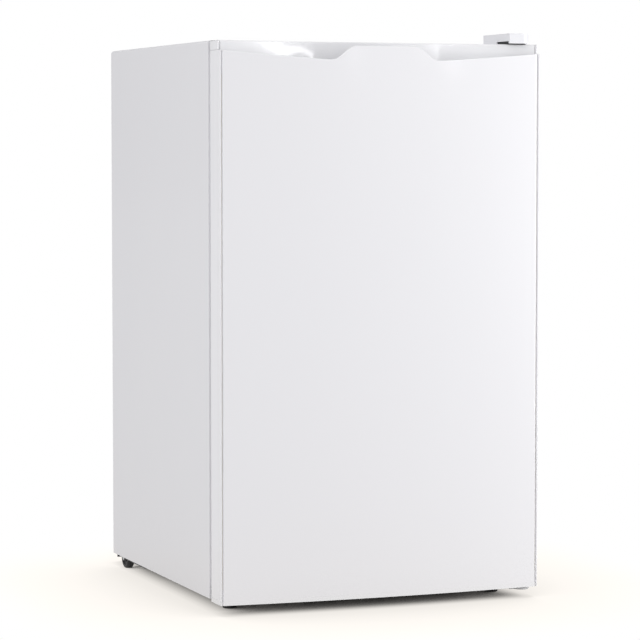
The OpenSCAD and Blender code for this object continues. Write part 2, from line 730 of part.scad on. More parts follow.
cond_top = cond_low + cond_step * (runs - 1);
run_half = cond_half - cond_step / 2;
module condenser_tube() color("#17181a") cab() translate([0, cond_y, 0]) {
    for (i = [0 : runs - 1])
        rod([-run_half, 0, cond_low + i * cond_step], [run_half, 0, cond_low + i * cond_step], tube_r);
    for (i = [0 : runs - 2]) let (s = i % 2 == 0 ? 1 : -1)
        translate([s * run_half, 0, cond_low + (i + 0.5) * cond_step]) rotate([90, 0, 0])
            rotate([0, 0, -90 * s]) rotate_extrude(angle = 180, $fn = 64)
                translate([cond_step / 2, 0]) circle(r = tube_r - 0.1, $fn = 24);
}

module condenser_wires() color("#17181a") cab() for (i = [0 : wires - 1], s = [-1, 1])
    let (x = -run_half + 4 + i * (2 * run_half - 8) / (wires - 1),
        y = cond_y + s * (tube_r + wire_r))
        rod([x, y, cond_low - 12], [x, y, cond_top + 12], wire_r, 8);

module condenser_brackets() color("#17181a") cab() pair() for (i = [1, runs - 2])
    translate([run_half - 34, 0, cond_low + i * cond_step])
        box([-5, body_d, -8], [5, cond_y - tube_r - 2 * wire_r - 0.2, 8]);

drier_z = bay_z - 45;
pipe_x = cond_half + 8;
module filter_drier() color("#b87333") cab() translate([20 - pipe_x, cond_y, drier_z])
    rotate([0, 90, 0]) {
        cylinder(r = 9, h = 80, $fn = 48);
        translate([0, 0, -10]) cylinder(r1 = tube_r + 1, r2 = 9, h = 10.1, $fn = 48);
        translate([0, 0, 79.9]) cylinder(r1 = 9, r2 = tube_r + 1, h = 10, $fn = 48);
    }

comp_end = comp_x - comp_l / 2 - comp_r;
module refrigerant_pipes() color("#b87333") cab() {
    // discharge: from the compressor, up the condenser's side and into its top run
    pipe([[comp_end, comp_y + 6, 100], [comp_end - 30, comp_y + 6, 100],
        [comp_end - 30, comp_y + 6, 60], [-pipe_x - 12, comp_y + 6, 60],
        [-pipe_x - 12, cond_y, 60], [-pipe_x - 12, cond_y, cond_top],
        [-run_half - 0.1, cond_y, cond_top]], tube_r);
    // from the bottom run down to the drier
    pipe([[-run_half - 0.1, cond_y, cond_low], [-pipe_x, cond_y, cond_low],
        [-pipe_x, cond_y, drier_z], [10 - pipe_x, cond_y, drier_z]], tube_r);
    // the capillary from the drier up into the insulated floor
    pipe([[110 - pipe_x, cond_y, drier_z], [130 - pipe_x, cond_y, drier_z],
        [130 - pipe_x, body_d - 20, drier_z], [130 - pipe_x, body_d - 20, bay_z - sheet]], 1.2);
    // suction: from the insulated floor down to the compressor
    pipe([[comp_end + 0.8, comp_y - 14, 130], [comp_end - 14, comp_y - 14, 130],
        [comp_end - 14, comp_y - 14, bay_z - sheet]], tube_r + 0.8);
}

// ---------- door ----------

// the steel skin around the door, without its upper edge
joint_y = door_front + scoop_edge;
module door_skin() difference() {
    translate([0, 0, door_z + end_band]) linear_extrude(door_top - door_z - end_band) difference() {
        door_plan();
        door_plan(sheet);
        translate([12 - half, door_back - 3]) square([body_w - 24, 5]);
    }
    above_edge();
}

// the swollen front with its short side returns
module door_panel() color("#eceaef") cab() intersection() {
    door_skin();
    box([-half, door_front - door_bulge - 1, 0], [half, joint_y - slip, worktop_z]);
}

// the side strips behind the joint, with their back flanges
module door_frame() color("#e3e2e7") cab() intersection() {
    door_skin();
    box([-half, joint_y + slip, 0], [half, 0, worktop_z]);
}

cap_wall = 3;
cap_low = door_top - cap_drop;
bush_r = 6.5;
bush_l = 22;
boss_r = 9;

// extrudes an outline up from z0 to z1
module up(z0, z1) translate([0, 0, z0]) linear_extrude(z1 - z0) children();
module on_axis(z0, z1, r) translate([axis_x, axis_y, z0]) cylinder(r = r, h = z1 - z0, $fn = 48);

module door_top_cap() color("#efeff3") cab() difference() {
    inset = sheet + slip;
    union() {
        difference() {
            union() {
                difference() {
                    up(cap_low, door_top) door_plan(inset);
                    above_edge(1);
                }
                up(cap_low, door_top) intersection() {
                    door_plan(inset);
                    cap_plan();
                }
                up(door_top - corner_drop, door_top) cap_plan();
            }
            // the finger scoop in front of the wall
            intersection() {
                up(cap_low, door_top + 1) front_of_wall();
                above_floor();
            }
            // the hollow behind the wall
            up(cap_low - 1, door_top - cap_wall) intersection() {
                translate([2 - wall_half, door_front]) square([2 * wall_half - 4, door_d - cap_wall]);
                difference() {
                    translate([-half, door_front]) square([body_w, door_d]);
                    front_of_wall(cap_wall);
                }
            }
            // the hollow below the scoop's floor
            difference() {
                up(cap_low - 1, door_top) door_plan(inset + 2.5);
                above_floor(cap_wall);
                up(cap_low - 2, door_top + 1) translate([-half, door_back - cap_wall]) square([body_w, 9]);
            }
        }
        on_axis(door_top - bush_l, door_top - 1, boss_r);
    }
    on_axis(door_top - bush_l - 1, door_top + 1, bush_r);
}

cap_high = door_z + end_band + 14;
module door_bottom_cap() color("#efeff3") cab() difference() {
    union() {
        difference() {
            union() {
                up(door_z, door_z + end_band) door_plan();
                up(door_z, cap_high) door_plan(sheet + slip);
            }
            up(door_z + cap_wall, cap_high + 1) door_plan(sheet + slip + 2.5);
        }
        on_axis(door_z, door_z + bush_l, boss_r);
    }
    on_axis(door_z - 1, door_z + bush_l + 1, bush_r);
}

// the outline of the hollow rim on the door's inner side, shrunk by inset
module dyke_plan(inset = 0) difference() {
    rounded([inset - dyke_half, dyke_low + inset], [dyke_half - inset, dyke_high - inset], 16);
    rounded([dyke_w - inset - dyke_half, dyke_low + dyke_w - inset],
        [dyke_half - dyke_w + inset, dyke_high - dyke_w + inset], 8);
}

module door_foam() color("#e8dcae") cab() {
    up(max(cap_high, door_z + bush_l) + 1, cap_low - 1) door_plan(sheet);
    along_y(door_back - sheet - 0.1, dyke_in - liner_t) dyke_plan(liner_t);
}

module door_liner() color("#f1f2f3") cab() {
    difference() {
        union() {
            along_y(door_back, door_back + liner_t)
                rounded([3 - half, door_z + 5], [half - 3, door_top - 4], 4);
            along_y(door_back, dyke_in) dyke_plan();
        }
        along_y(door_back - 1, dyke_in - liner_t) dyke_plan(liner_t);
    }
    for (z = [rack_top_z, rack_mid_z, rack_low_z]) pair()
        box([rack_half - 8, door_back + liner_t - 0.1, z - 8], [dyke_half - dyke_w + 0.1, dyke_in - 4, z]);
}

module door_gasket() color("#e9e9ec") cab() {
    z0 = sill_z + floor_wall / 2 - 6;
    z1 = worktop_z - top_wall / 2 + 3;
    inner = gasket_out - gasket_w;
    y0 = door_back + liner_t;
    difference() {
        union() {
            along_y(y0, y0 + gasket_fin) rounded([6 - half, door_z + 8], [half - 6, door_top - 6], 4);
            along_y(y0 + gasket_fin, -fit) rounded([-gasket_out, z0], [gasket_out, z1], 6);
        }
        along_y(y0 - 1, 1) rounded([-inner, z0 + gasket_w], [inner, z1 - gasket_w], 4);
    }
}

module door_bushes() color("#f7f7f7") cab() difference() {
    union() {
        on_axis(door_top - bush_l, door_top, bush_r);
        on_axis(door_z - 2.2, door_z + bush_l, bush_r);
    }
    on_axis(0, worktop_z, pin_r + fit);
}

// a door rack: a bin with round front corners whose front wall is lower at its middle
module rack(z, h) {
    t = 2;
    y0 = door_back + liner_t;
    difference() {
        up(z, z + h) rack_plan(y0, 0);
        up(z + t, z + h + 1) rack_plan(y0, t);
        along_y(y0 + rack_d - 26, y0 + rack_d + 1)
            rounded([40 - rack_half, z + h - 14], [rack_half - 40, z + h + 30], 12);
    }
}
module rack_plan(y0, inset) {
    r = 16;
    translate([inset - rack_half, y0 + inset])
        square([2 * (rack_half - inset), rack_d - r - inset]);
    translate([r - rack_half, y0 + inset]) square([2 * (rack_half - r), rack_d - 2 * inset]);
    for (s = [-1, 1]) translate([s * (rack_half - r), y0 + rack_d - r])
        circle(r = r - inset, $fn = 64);
}
module rack_upper() color("#e3edf1") cab() rack(rack_top_z, 58);
module rack_middle() color("#e3edf1") cab() rack(rack_mid_z, 58);
module rack_lower() color("#e3edf1") cab() rack(rack_low_z, 88);

// ---------- the nodes ----------

outer_shell();
back_plate();
bottom_plate();
cabinet_foam();
inner_liner();
hinge_hole_plugs();
freezer_frame();
evaporator_box();
evaporator_screws();
freezer_flap();
chiller_tray();
shelf_glass_upper();
shelf_trim_upper();
shelf_glass_lower();
shelf_trim_lower();
crisper_cover();
crisper_trim();
crisper_drawer();
thermostat_housing();
thermostat_knob();
lamp_holder();
lamp_bulb();
lamp_cover();
switch_housing();
switch_plunger();
top_hinge_bracket();
top_hinge_screws();
top_hinge_cover();
bottom_hinge_bracket();
left_foot_plate();
bracket_screws();
levelling_foot_left();
levelling_foot_right();
base_plate();
roller_axles();
rear_roller_left();
rear_roller_right();
compressor();
compressor_grommets();
compressor_nuts();
relay_cover();
cord_gland();
evaporation_tray();
drain_tube();
condenser_tube();
condenser_wires();
condenser_brackets();
filter_drier();
refrigerant_pipes();
door_panel();
door_frame();
door_top_cap();
door_bottom_cap();
door_foam();
door_liner();
door_gasket();
door_bushes();
rack_upper();
rack_middle();
rack_lower();
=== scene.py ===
import math

import bmesh
import bpy
from mathutils import Matrix, Vector


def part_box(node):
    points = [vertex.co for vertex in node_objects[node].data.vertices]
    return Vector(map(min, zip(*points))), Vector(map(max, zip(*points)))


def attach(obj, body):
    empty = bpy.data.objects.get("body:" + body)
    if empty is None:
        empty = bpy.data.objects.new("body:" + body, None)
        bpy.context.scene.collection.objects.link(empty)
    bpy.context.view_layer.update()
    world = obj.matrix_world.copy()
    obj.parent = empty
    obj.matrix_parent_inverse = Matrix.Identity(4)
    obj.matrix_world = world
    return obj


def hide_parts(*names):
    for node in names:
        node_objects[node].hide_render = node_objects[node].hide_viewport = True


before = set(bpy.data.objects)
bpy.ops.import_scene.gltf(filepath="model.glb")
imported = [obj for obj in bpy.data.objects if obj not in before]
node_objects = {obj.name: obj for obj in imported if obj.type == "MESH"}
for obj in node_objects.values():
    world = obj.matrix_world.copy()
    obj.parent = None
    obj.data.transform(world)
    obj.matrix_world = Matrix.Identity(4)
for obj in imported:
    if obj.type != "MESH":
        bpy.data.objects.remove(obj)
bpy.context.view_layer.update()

# ---------------------------------------------------------------- studio
# A white sweep of paper carries the refrigerator, and a white room lights it
# evenly. One long softbox stands to the right, so the front is the brightest
# side and the left side falls off a little towards the floor.

studio = bpy.context.scene
studio.view_settings.view_transform = "Standard"

camera_data = bpy.data.cameras.new("studio_camera")
camera_data.lens = 153.665
camera_data.clip_end = 40
camera = bpy.data.objects.new("studio_camera", camera_data)
camera.location = (-1.52113, -3.98004, 0.67945)
camera.rotation_euler = (math.radians(90 - 3.6387), 0, math.radians(-21.029))
studio.collection.objects.link(camera)
studio.camera = camera


def add_lamp(name, place, aim, size, power, tint=(1, 1, 1)):
    light = bpy.data.lights.new(name, "AREA")
    light.shape = "RECTANGLE"
    light.size, light.size_y = size
    light.energy = power
    light.color = tint
    lamp = bpy.data.objects.new(name, light)
    lamp.location = place
    lamp.rotation_euler = (Vector(place) - Vector(aim)).to_track_quat("Z", "Y").to_euler()
    studio.collection.objects.link(lamp)
    return lamp


room_light = bpy.data.worlds.new("white_room")
room_light.use_nodes = True
room_nodes, room_links = room_light.node_tree.nodes, room_light.node_tree.links
room_nodes.clear()
seen_backdrop = room_nodes.new("ShaderNodeBackground")
seen_backdrop.inputs["Color"].default_value = (1, 1, 1, 1)
seen_backdrop.inputs["Strength"].default_value = 1.0
room_glow = room_nodes.new("ShaderNodeBackground")
room_glow.inputs["Strength"].default_value = 0.57
direction = room_nodes.new("ShaderNodeTexCoord")
split_direction = room_nodes.new("ShaderNodeSeparateXYZ")
room_links.new(direction.outputs["Generated"], split_direction.inputs[0])
height_ramp = room_nodes.new("ShaderNodeValToRGB")
height_ramp.color_ramp.elements[0].position = 0.30
height_ramp.color_ramp.elements[0].color = (0.80, 0.80, 0.82, 1)
height_ramp.color_ramp.elements[1].position = 0.75
height_ramp.color_ramp.elements[1].color = (1, 1, 1, 1)
lift = room_nodes.new("ShaderNodeMath")
lift.operation = "MULTIPLY_ADD"
lift.inputs[1].default_value = 0.5
lift.inputs[2].default_value = 0.5
room_links.new(split_direction.outputs["Z"], lift.inputs[0])
room_links.new(lift.outputs[0], height_ramp.inputs[0])
room_links.new(height_ramp.outputs[0], room_glow.inputs["Color"])
which_ray = room_nodes.new("ShaderNodeLightPath")
choose = room_nodes.new("ShaderNodeMixShader")
room_out = room_nodes.new("ShaderNodeOutputWorld")
room_links.new(which_ray.outputs["Is Camera Ray"], choose.inputs[0])
room_links.new(room_glow.outputs[0], choose.inputs[1])
room_links.new(seen_backdrop.outputs[0], choose.inputs[2])
room_links.new(choose.outputs[0], room_out.inputs[0])
studio.world = room_light

key_light = add_lamp("key_softbox", (2.12, -1.59, 0.9), (0, -0.27, 0.45), (1.2, 1.8), 41)
fill_light = add_lamp("fill_softbox", (-3.6, -1.4, 1.9), (0, 0, 0.7), (1.6, 2.0), 62)
top_light = add_lamp("top_softbox", (0.2, -0.4, 3.4), (0, 0, 0.8), (2.2, 2.2), 14)
for lamp in (key_light, fill_light, top_light):
    lamp.visible_camera = False

paper_mesh = bpy.data.meshes.new("studio_floor")
paper_mesh.from_pydata(
    [(-30, -30, 0), (30, -30, 0), (30, 30, 0), (-30, 30, 0)], [], [(0, 1, 2, 3)]
)
paper = bpy.data.objects.new("studio_floor", paper_mesh)
studio.collection.objects.link(paper)
paper_finish = bpy.data.materials.new("white_paper")
paper_finish.use_nodes = True
paper_nodes, paper_links = paper_finish.node_tree.nodes, paper_finish.node_tree.links
paper_nodes.clear()
# the sweep glows evenly, with a contact shadow painted into its glow where something stands close
# over it
nearness = paper_nodes.new("ShaderNodeAmbientOcclusion")
nearness.samples = 64
nearness.inputs["Distance"].default_value = 0.3
painted_shadow_ramp = paper_nodes.new("ShaderNodeValToRGB")
painted_shadow_ramp.color_ramp.interpolation = "LINEAR"
# painted contact shadow: these stops darken the glow, with a warm tint, as the occlusion closes in
for place, grey in (
    (0.012, 0.006), (0.022, 0.03), (0.036, 0.11), (0.053, 0.21), (0.082, 0.39),
    (0.146, 0.56), (0.266, 0.71), (0.5, 0.81), (0.62, 0.90), (0.74, 0.96), (0.87, 0.995),
):
    stop = painted_shadow_ramp.color_ramp.elements.new(place)
    stop.color = (grey * 1.04, grey, grey * 0.95, 1)
painted_shadow_ramp.color_ramp.elements[0].color = (0.002, 0.002, 0.002, 1)
painted_shadow_ramp.color_ramp.elements[-1].color = (1, 1, 1, 1)
paper_links.new(nearness.outputs["AO"], painted_shadow_ramp.inputs[0])
paper_ray = paper_nodes.new("ShaderNodeLightPath")
paper_strength = paper_nodes.new("ShaderNodeMapRange")
paper_strength.inputs["To Min"].default_value = 0.71
paper_strength.inputs["To Max"].default_value = 1.0
paper_links.new(paper_ray.outputs["Is Camera Ray"], paper_strength.inputs["Value"])
paper_glow = paper_nodes.new("ShaderNodeEmission")
paper_links.new(painted_shadow_ramp.outputs[0], paper_glow.inputs["Color"])
paper_links.new(paper_strength.outputs[0], paper_glow.inputs["Strength"])
paper_out = paper_nodes.new("ShaderNodeOutputMaterial")
paper_links.new(paper_glow.outputs[0], paper_out.inputs["Surface"])
paper_mesh.materials.append(paper_finish)


front_distance = -0.27  # the row of the door's front that the cards face
card_middle, card_half = 1.73, 0.87


def reflector(name, x, y, width, strength):
    """An upright lit card that only glossy rays see, so that the handle's wall mirrors it."""
    card_mesh = bpy.data.meshes.new(name)
    middle = Vector((x, y, card_middle))
    a = math.atan2(x, front_distance - y)
    side = Vector((math.cos(a), math.sin(a), 0)) * width / 2
    rise = Vector((0, 0, card_half))
    card_mesh.from_pydata(
        [middle - side - rise, middle + side - rise, middle + side + rise, middle - side + rise],
        [], [(0, 1, 2, 3)],
    )
    card = bpy.data.objects.new(name, card_mesh)
    studio.collection.objects.link(card)
    paint = bpy.data.materials.new(name)
    paint.use_nodes = True
    shader = paint.node_tree.nodes["Principled BSDF"]
    shader.inputs["Base Color"].default_value = (0.1, 0.1, 0.1, 1)
    shader.inputs["Emission Color"].default_value = (1, 1, 1, 1)
    shader.inputs["Emission Strength"].default_value = strength
    card_mesh.materials.append(paint)
    for kind in ("camera", "diffuse", "shadow", "transmission", "volume_scatter"):
        setattr(card, "visible_" + kind, False)


reflector("wide_card", 1.493, -2.872, 0.080, 9.0)
reflector("narrow_card", 0.966, -3.110, 0.034, 9.0)

# ---------------------------------------------------------------- surface effects
# Sprayed enamel, moulded plastic and rolled steel each show small irregularities:
# a faint ripple, a fine grain, thin dust where it settles. They are made once here
# and every finish below places them with its own strength.


def effect_group(name, inputs, outputs):
    """An empty shader node group with float inputs and outputs, and its two ends."""
    group = bpy.data.node_groups.new(name, "ShaderNodeTree")
    for label, value in inputs:
        socket = group.interface.new_socket(label, in_out="INPUT", socket_type="NodeSocketFloat")
        socket.default_value = value
    for label in outputs:
        group.interface.new_socket(label, in_out="OUTPUT", socket_type="NodeSocketFloat")
    return group, group.nodes.new("NodeGroupInput"), group.nodes.new("NodeGroupOutput")


def noise_in(tree, place, scale, detail, roughness=0.5):
    noise = tree.nodes.new("ShaderNodeTexNoise")
    noise.inputs["Detail"].default_value = detail
    noise.inputs["Roughness"].default_value = roughness
    tree.links.new(place, noise.inputs["Vector"])
    if hasattr(scale, "is_linked"):
        tree.links.new(scale, noise.inputs["Scale"])
    else:
        noise.inputs["Scale"].default_value = scale
    return noise.outputs["Fac"]


def maths(tree, operation, first, second=None, third=None):
    node = tree.nodes.new("ShaderNodeMath")
    node.operation = operation
    for socket, value in zip(node.inputs, (first, second, third)):
        if value is None:
            continue
        if hasattr(value, "is_linked"):
            tree.links.new(value, socket)
        else:
            socket.default_value = value
    return node.outputs[0]


def ranged(tree, value, low, high, out_low=0.0, out_high=1.0):
    node = tree.nodes.new("ShaderNodeMapRange")
    node.inputs["From Min"].default_value = low
    node.inputs["From Max"].default_value = high
    node.inputs["To Min"].default_value = out_low
    node.inputs["To Max"].default_value = out_high
    tree.links.new(value, node.inputs["Value"])
    return node.outputs["Result"]


# ripple of sprayed or powder-coated enamel
ripple_group, ripple_in, ripple_out = effect_group(
    "enamel_ripple", [("Scale", 420.0), ("Slow", 14.0)], ["Height", "Cloud"]
)
spot = ripple_group.nodes.new("ShaderNodeTexCoord").outputs["Object"]
fine_ripple = noise_in(ripple_group, spot, ripple_in.outputs["Scale"], 2.0, 0.45)
slow_cloud = noise_in(ripple_group, spot, ripple_in.outputs["Slow"], 3.0, 0.5)
ripple_group.links.new(fine_ripple, ripple_out.inputs["Height"])
ripple_group.links.new(slow_cloud, ripple_out.inputs["Cloud"])

# fine grain of a textured mould
grain_group, grain_in, grain_out = effect_group(
    "mould_grain", [("Scale", 900.0)], ["Height", "Cloud"]
)
spot = grain_group.nodes.new("ShaderNodeTexCoord").outputs["Object"]
cells = grain_group.nodes.new("ShaderNodeTexVoronoi")
cells.feature = "SMOOTH_F1"
grain_group.links.new(spot, cells.inputs["Vector"])
grain_group.links.new(grain_in.outputs["Scale"], cells.inputs["Scale"])
soft_noise = noise_in(grain_group, spot, 60.0, 3.0, 0.55)
grain_group.links.new(cells.outputs["Distance"], grain_out.inputs["Height"])
grain_group.links.new(soft_noise, grain_out.inputs["Cloud"])

# dust that settles on faces that look up
dust_group, dust_in, dust_out = effect_group("settled_dust", [("Amount", 0.3)], ["Mask"])
facing = dust_group.nodes.new("ShaderNodeNewGeometry")
upness = dust_group.nodes.new("ShaderNodeSeparateXYZ")
dust_group.links.new(facing.outputs["Normal"], upness.inputs[0])
flatness = ranged(dust_group, upness.outputs["Z"], 0.55, 0.98)
speck = noise_in(
    dust_group, dust_group.nodes.new("ShaderNodeTexCoord").outputs["Object"], 38.0, 6.0, 0.62
)
speck = ranged(dust_group, speck, 0.42, 0.72)
settled = maths(dust_group, "MULTIPLY", flatness, speck)
settled = maths(dust_group, "MULTIPLY", settled, dust_in.outputs["Amount"])
dust_group.links.new(settled, dust_out.inputs["Mask"])

# faint wiping marks and finger smudges on gloss
smudge_group, smudge_in, smudge_out = effect_group("wipe_smudges", [("Scale", 5.0)], ["Mask"])
spot = smudge_group.nodes.new("ShaderNodeTexCoord").outputs["Object"]
stretch = smudge_group.nodes.new("ShaderNodeMapping")
stretch.inputs["Scale"].default_value = (1.0, 1.0, 0.35)
stretch.inputs["Rotation"].default_value = (0.0, 0.5, 0.0)
smudge_group.links.new(spot, stretch.inputs["Vector"])
wipes = noise_in(smudge_group, stretch.outputs[0], smudge_in.outputs["Scale"], 5.0, 0.6)
wipes = ranged(smudge_group, wipes, 0.46, 0.70)
smudge_group.links.new(wipes, smudge_out.inputs["Mask"])

# lines left by rolling or drawing metal, along X
rolling_group, rolling_in, rolling_out = effect_group(
    "rolling_lines", [("Scale", 260.0)], ["Height", "Cloud"]
)
spot = rolling_group.nodes.new("ShaderNodeTexCoord").outputs["Object"]
along = rolling_group.nodes.new("ShaderNodeMapping")
along.inputs["Scale"].default_value = (0.02, 1.0, 1.0)
rolling_group.links.new(spot, along.inputs["Vector"])
lines_height = noise_in(rolling_group, along.outputs[0], rolling_in.outputs["Scale"], 3.0, 0.6)
lines_cloud = noise_in(rolling_group, spot, 24.0, 3.0, 0.5)
rolling_group.links.new(lines_height, rolling_out.inputs["Height"])
rolling_group.links.new(lines_cloud, rolling_out.inputs["Cloud"])

# a mask along edges and creases, broken up by noise, that finishes use to paint their edges a
# different tone
edge_group, edge_in, edge_out = effect_group("edge_tone_band", [("Width", 0.0012)], ["Mask"])
rounder = edge_group.nodes.new("ShaderNodeBevel")
rounder.samples = 4
edge_group.links.new(edge_in.outputs["Width"], rounder.inputs["Radius"])
true_face = edge_group.nodes.new("ShaderNodeNewGeometry")
likeness = edge_group.nodes.new("ShaderNodeVectorMath")
likeness.operation = "DOT_PRODUCT"
edge_group.links.new(rounder.outputs[0], likeness.inputs[0])
edge_group.links.new(true_face.outputs["True Normal"], likeness.inputs[1])
near_edge = ranged(edge_group, likeness.outputs["Value"], 0.985, 0.86)
edge_breakup = noise_in(
    edge_group, edge_group.nodes.new("ShaderNodeTexCoord").outputs["Object"], 120.0, 4.0, 0.6
)
edge_breakup = ranged(edge_group, edge_breakup, 0.45, 0.60)
near_edge = maths(edge_group, "MULTIPLY", near_edge, edge_breakup)
edge_group.links.new(near_edge, edge_out.inputs["Mask"])


class Finish:
    """A new material with its Principled shader, ready to take colours and effects."""

    def __init__(self, name, colour, rough, metal=0.0):
        self.material = bpy.data.materials.new(name)
        self.material.use_nodes = True
        self.tree = self.material.node_tree
        self.shader = self.tree.nodes["Principled BSDF"]
        self.colour, self.rough = colour, rough
        self.shader.inputs["Base Color"].default_value = (*colour, 1)
        self.shader.inputs["Roughness"].default_value = rough
        self.shader.inputs["Metallic"].default_value = metal

    def effect(self, group, **values):
        node = self.tree.nodes.new("ShaderNodeGroup")
        node.node_tree = group
        for label, value in values.items():
            node.inputs[label].default_value = value
        return node.outputs

    def tint(self, mask, other):
        """Mixes the base colour towards another by a mask."""
        mix = self.tree.nodes.new("ShaderNodeMix")
        mix.data_type = "RGBA"
        socket = self.shader.inputs["Base Color"]
        if socket.is_linked:
            self.tree.links.new(socket.links[0].from_socket, mix.inputs[6])
        else:
            mix.inputs[6].default_value = (*self.colour, 1)
        mix.inputs[7].default_value = (*other, 1)
        self.tree.links.new(mask, mix.inputs[0])
        self.tree.links.new(mix.outputs[2], socket)
        return self

    def roughen(self, mask, change):
        """Adds change times mask to the roughness."""
        socket = self.shader.inputs["Roughness"]
        start = socket.links[0].from_socket if socket.is_linked else self.rough
        self.tree.links.new(maths(self.tree, "MULTIPLY_ADD", mask, change, start), socket)
        return self

    def bump(self, height, depth, strength=1.0):
        node = self.tree.nodes.new("ShaderNodeBump")
        node.inputs["Distance"].default_value = depth
        node.inputs["Strength"].default_value = strength
        socket = self.shader.inputs["Normal"]
        if socket.is_linked:
            self.tree.links.new(socket.links[0].from_socket, node.inputs["Normal"])
        self.tree.links.new(height, node.inputs["Height"])
        self.tree.links.new(node.outputs[0], socket)
        return self

    def coat(self, weight, rough):
        self.shader.inputs["Coat Weight"].default_value = weight
        self.shader.inputs["Coat Roughness"].default_value = rough
        return self


def wear(finish, *names):
    """Puts a finish on CAD nodes, in the place of their plain ones."""
    for name in names:
        node = node_objects[name]
        for place in node.material_slots:
            place.link = "OBJECT"
            place.material = finish.material


def soften(name, width, steps=3, angle=32):
    """Rounds the edges of a CAD node by modifiers, as moulding or pressing leaves them."""
    node = node_objects[name]
    weld = node.modifiers.new("weld", "WELD")
    weld.merge_threshold = 2e-6
    flat = node.modifiers.new("flat_faces", "DECIMATE")
    flat.decimate_type = "DISSOLVE"
    flat.angle_limit = math.radians(0.4)
    bevel = node.modifiers.new("edge_round", "BEVEL")
    bevel.width = width
    bevel.segments = steps
    bevel.limit_method = "ANGLE"
    bevel.angle_limit = math.radians(angle)
    bevel.miter_outer = "MITER_ARC"
    even = node.modifiers.new("even_shading", "WEIGHTED_NORMAL")
    even.weight = 80


# ---------------------------------------------------------------- cabinet
# The wrapper is one strip of enamelled steel, bent round the top and both sides.
# A galvanised plate closes the back and another forms the floor and the bay of the
# compressor. Foam poured between wrapper and liner holds all of them together.

cabinet_enamel = Finish("cabinet_enamel", (0.735, 0.73, 0.755), 0.34)
ripple = cabinet_enamel.effect(ripple_group, Scale=520.0, Slow=9.0)
cabinet_enamel.bump(ripple["Height"], 0.00005, 0.5).roughen(ripple["Cloud"], 0.06)
cabinet_enamel.tint(
    maths(cabinet_enamel.tree, "MULTIPLY", ripple["Cloud"], 0.35), (0.70, 0.70, 0.735)
)
cabinet_enamel.coat(0.25, 0.12)
wear(cabinet_enamel, "outer_shell")
soften("outer_shell", 0.0007, 3)

galvanised = Finish("galvanised_steel", (0.56, 0.58, 0.60), 0.42, 0.85)
spangle = galvanised.tree.nodes.new("ShaderNodeTexVoronoi")
spangle.inputs["Scale"].default_value = 95.0
galvanised.tree.links.new(
    galvanised.tree.nodes.new("ShaderNodeTexCoord").outputs["Object"], spangle.inputs["Vector"]
)
flake = galvanised.tree.nodes.new("ShaderNodeSeparateColor")
galvanised.tree.links.new(spangle.outputs["Color"], flake.inputs[0])
galvanised.tint(maths(galvanised.tree, "MULTIPLY", flake.outputs[0], 0.8), (0.72, 0.74, 0.77))
galvanised.roughen(flake.outputs[1], 0.16)
lines = galvanised.effect(rolling_group, Scale=180.0)
galvanised.bump(lines["Height"], 0.0001, 0.4)
dust = galvanised.effect(dust_group, Amount=0.35)
galvanised.tint(dust["Mask"], (0.50, 0.48, 0.45)).roughen(dust["Mask"], 0.3)
wear(galvanised, "back_plate", "bottom_plate")
soften("back_plate", 0.0003, 2)
soften("bottom_plate", 0.0004, 2)

foam = Finish("insulating_foam", (0.80, 0.72, 0.50), 0.9)
foam_grain = foam.effect(grain_group, Scale=420.0)
foam.bump(foam_grain["Height"], 0.0006).tint(foam_grain["Cloud"], (0.70, 0.60, 0.38))
wear(foam, "cabinet_foam", "door_foam")

# ---------------------------------------------------------------- door front
# The front is one enamelled sheet, swollen towards its middle, with a bead and a
# groove along each side. Its upper edge dips beside a middle tab, and it is folded
# over so that no raw steel meets the fingers.

cabinet_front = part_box("outer_shell")[0].y


def mm(x, y, z):
    """A point given in millimetres, with y counted from the cabinet's front edge."""
    return Vector((x / 1000, cabinet_front + y / 1000, z / 1000))


door_half = 252.0
door_top = 831.0
door_front = -51.0
door_bulge = 11.0
bead_radius = 1.3
groove_centre = 249.0
groove_reach = 1.75
groove_depth = 2.3
swell_half = 247.8
swell_radius = (swell_half**2 + door_bulge**2) / (2 * door_bulge)
set_back = 9.0  # how far the end cap's bead stands behind the panel's
panel_bottom = 23.5
tab_half, dip_half = 46.0, 84.0


def front_edge_height(x):
    reach = abs(x)
    dip, corner = door_top - 26.4, door_top - 14.0
    if reach < tab_half:
        return door_top - 6.0
    if reach < dip_half:
        turn = math.pi * (reach - tab_half) / (dip_half - tab_half)
        return dip + 20.4 * (1 + math.cos(turn)) / 2
    return dip + (corner - dip) * ((reach - dip_half) / (door_half - dip_half)) ** 1.15


def swell(x):
    """How far the front stands before its side edges."""
    if abs(x) >= swell_half:
        return 0.0
    return math.sqrt(swell_radius**2 - x * x) - (swell_radius - door_bulge)


def groove(x):
    away = abs(abs(x) - groove_centre)
    if away >= groove_reach:
        return 0.0
    return groove_depth * (1 + math.cos(math.pi * away / groove_reach)) / 2


def side_bead(front):
    """The rounded outer corner of a door edge: points from its side to its front."""
    return [
        (
            door_half - bead_radius + bead_radius * math.cos(math.radians(a)),
            front + bead_radius - bead_radius * math.sin(math.radians(a)),
        )
        for a in range(0, 91, 15)
    ]


def link_piece(name, mesh, finish, body, stands_for=(), smooth=35):
    piece = bpy.data.objects.new(name, mesh)
    studio.collection.objects.link(piece)
    mesh.materials.clear()
    mesh.materials.append(finish.material)
    mesh.shade_smooth()
    mesh.set_sharp_from_angle(angle=math.radians(smooth))
    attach(piece, body)
    if stands_for:
        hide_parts(*stands_for)
    return piece


def sheet_of(columns, name, closed=False):
    """A mesh of quads through columns of equally many points."""
    count = len(columns[0])
    points = [p for column in columns for p in column]
    faces = []
    spans = len(columns) if closed else len(columns) - 1
    for i in range(spans):
        j = (i + 1) % len(columns)
        for k in range(count - 1):
            faces.append((i * count + k, j * count + k, j * count + k + 1, i * count + k + 1))
    mesh = bpy.data.meshes.new(name)
    mesh.from_pydata(points, [], faces)
    return mesh


plain_half = 247.2  # inside this, the front is plain and has no groove
groove_width = door_half - bead_radius - plain_half
steps_in_groove = 18
steps_in_front = 100

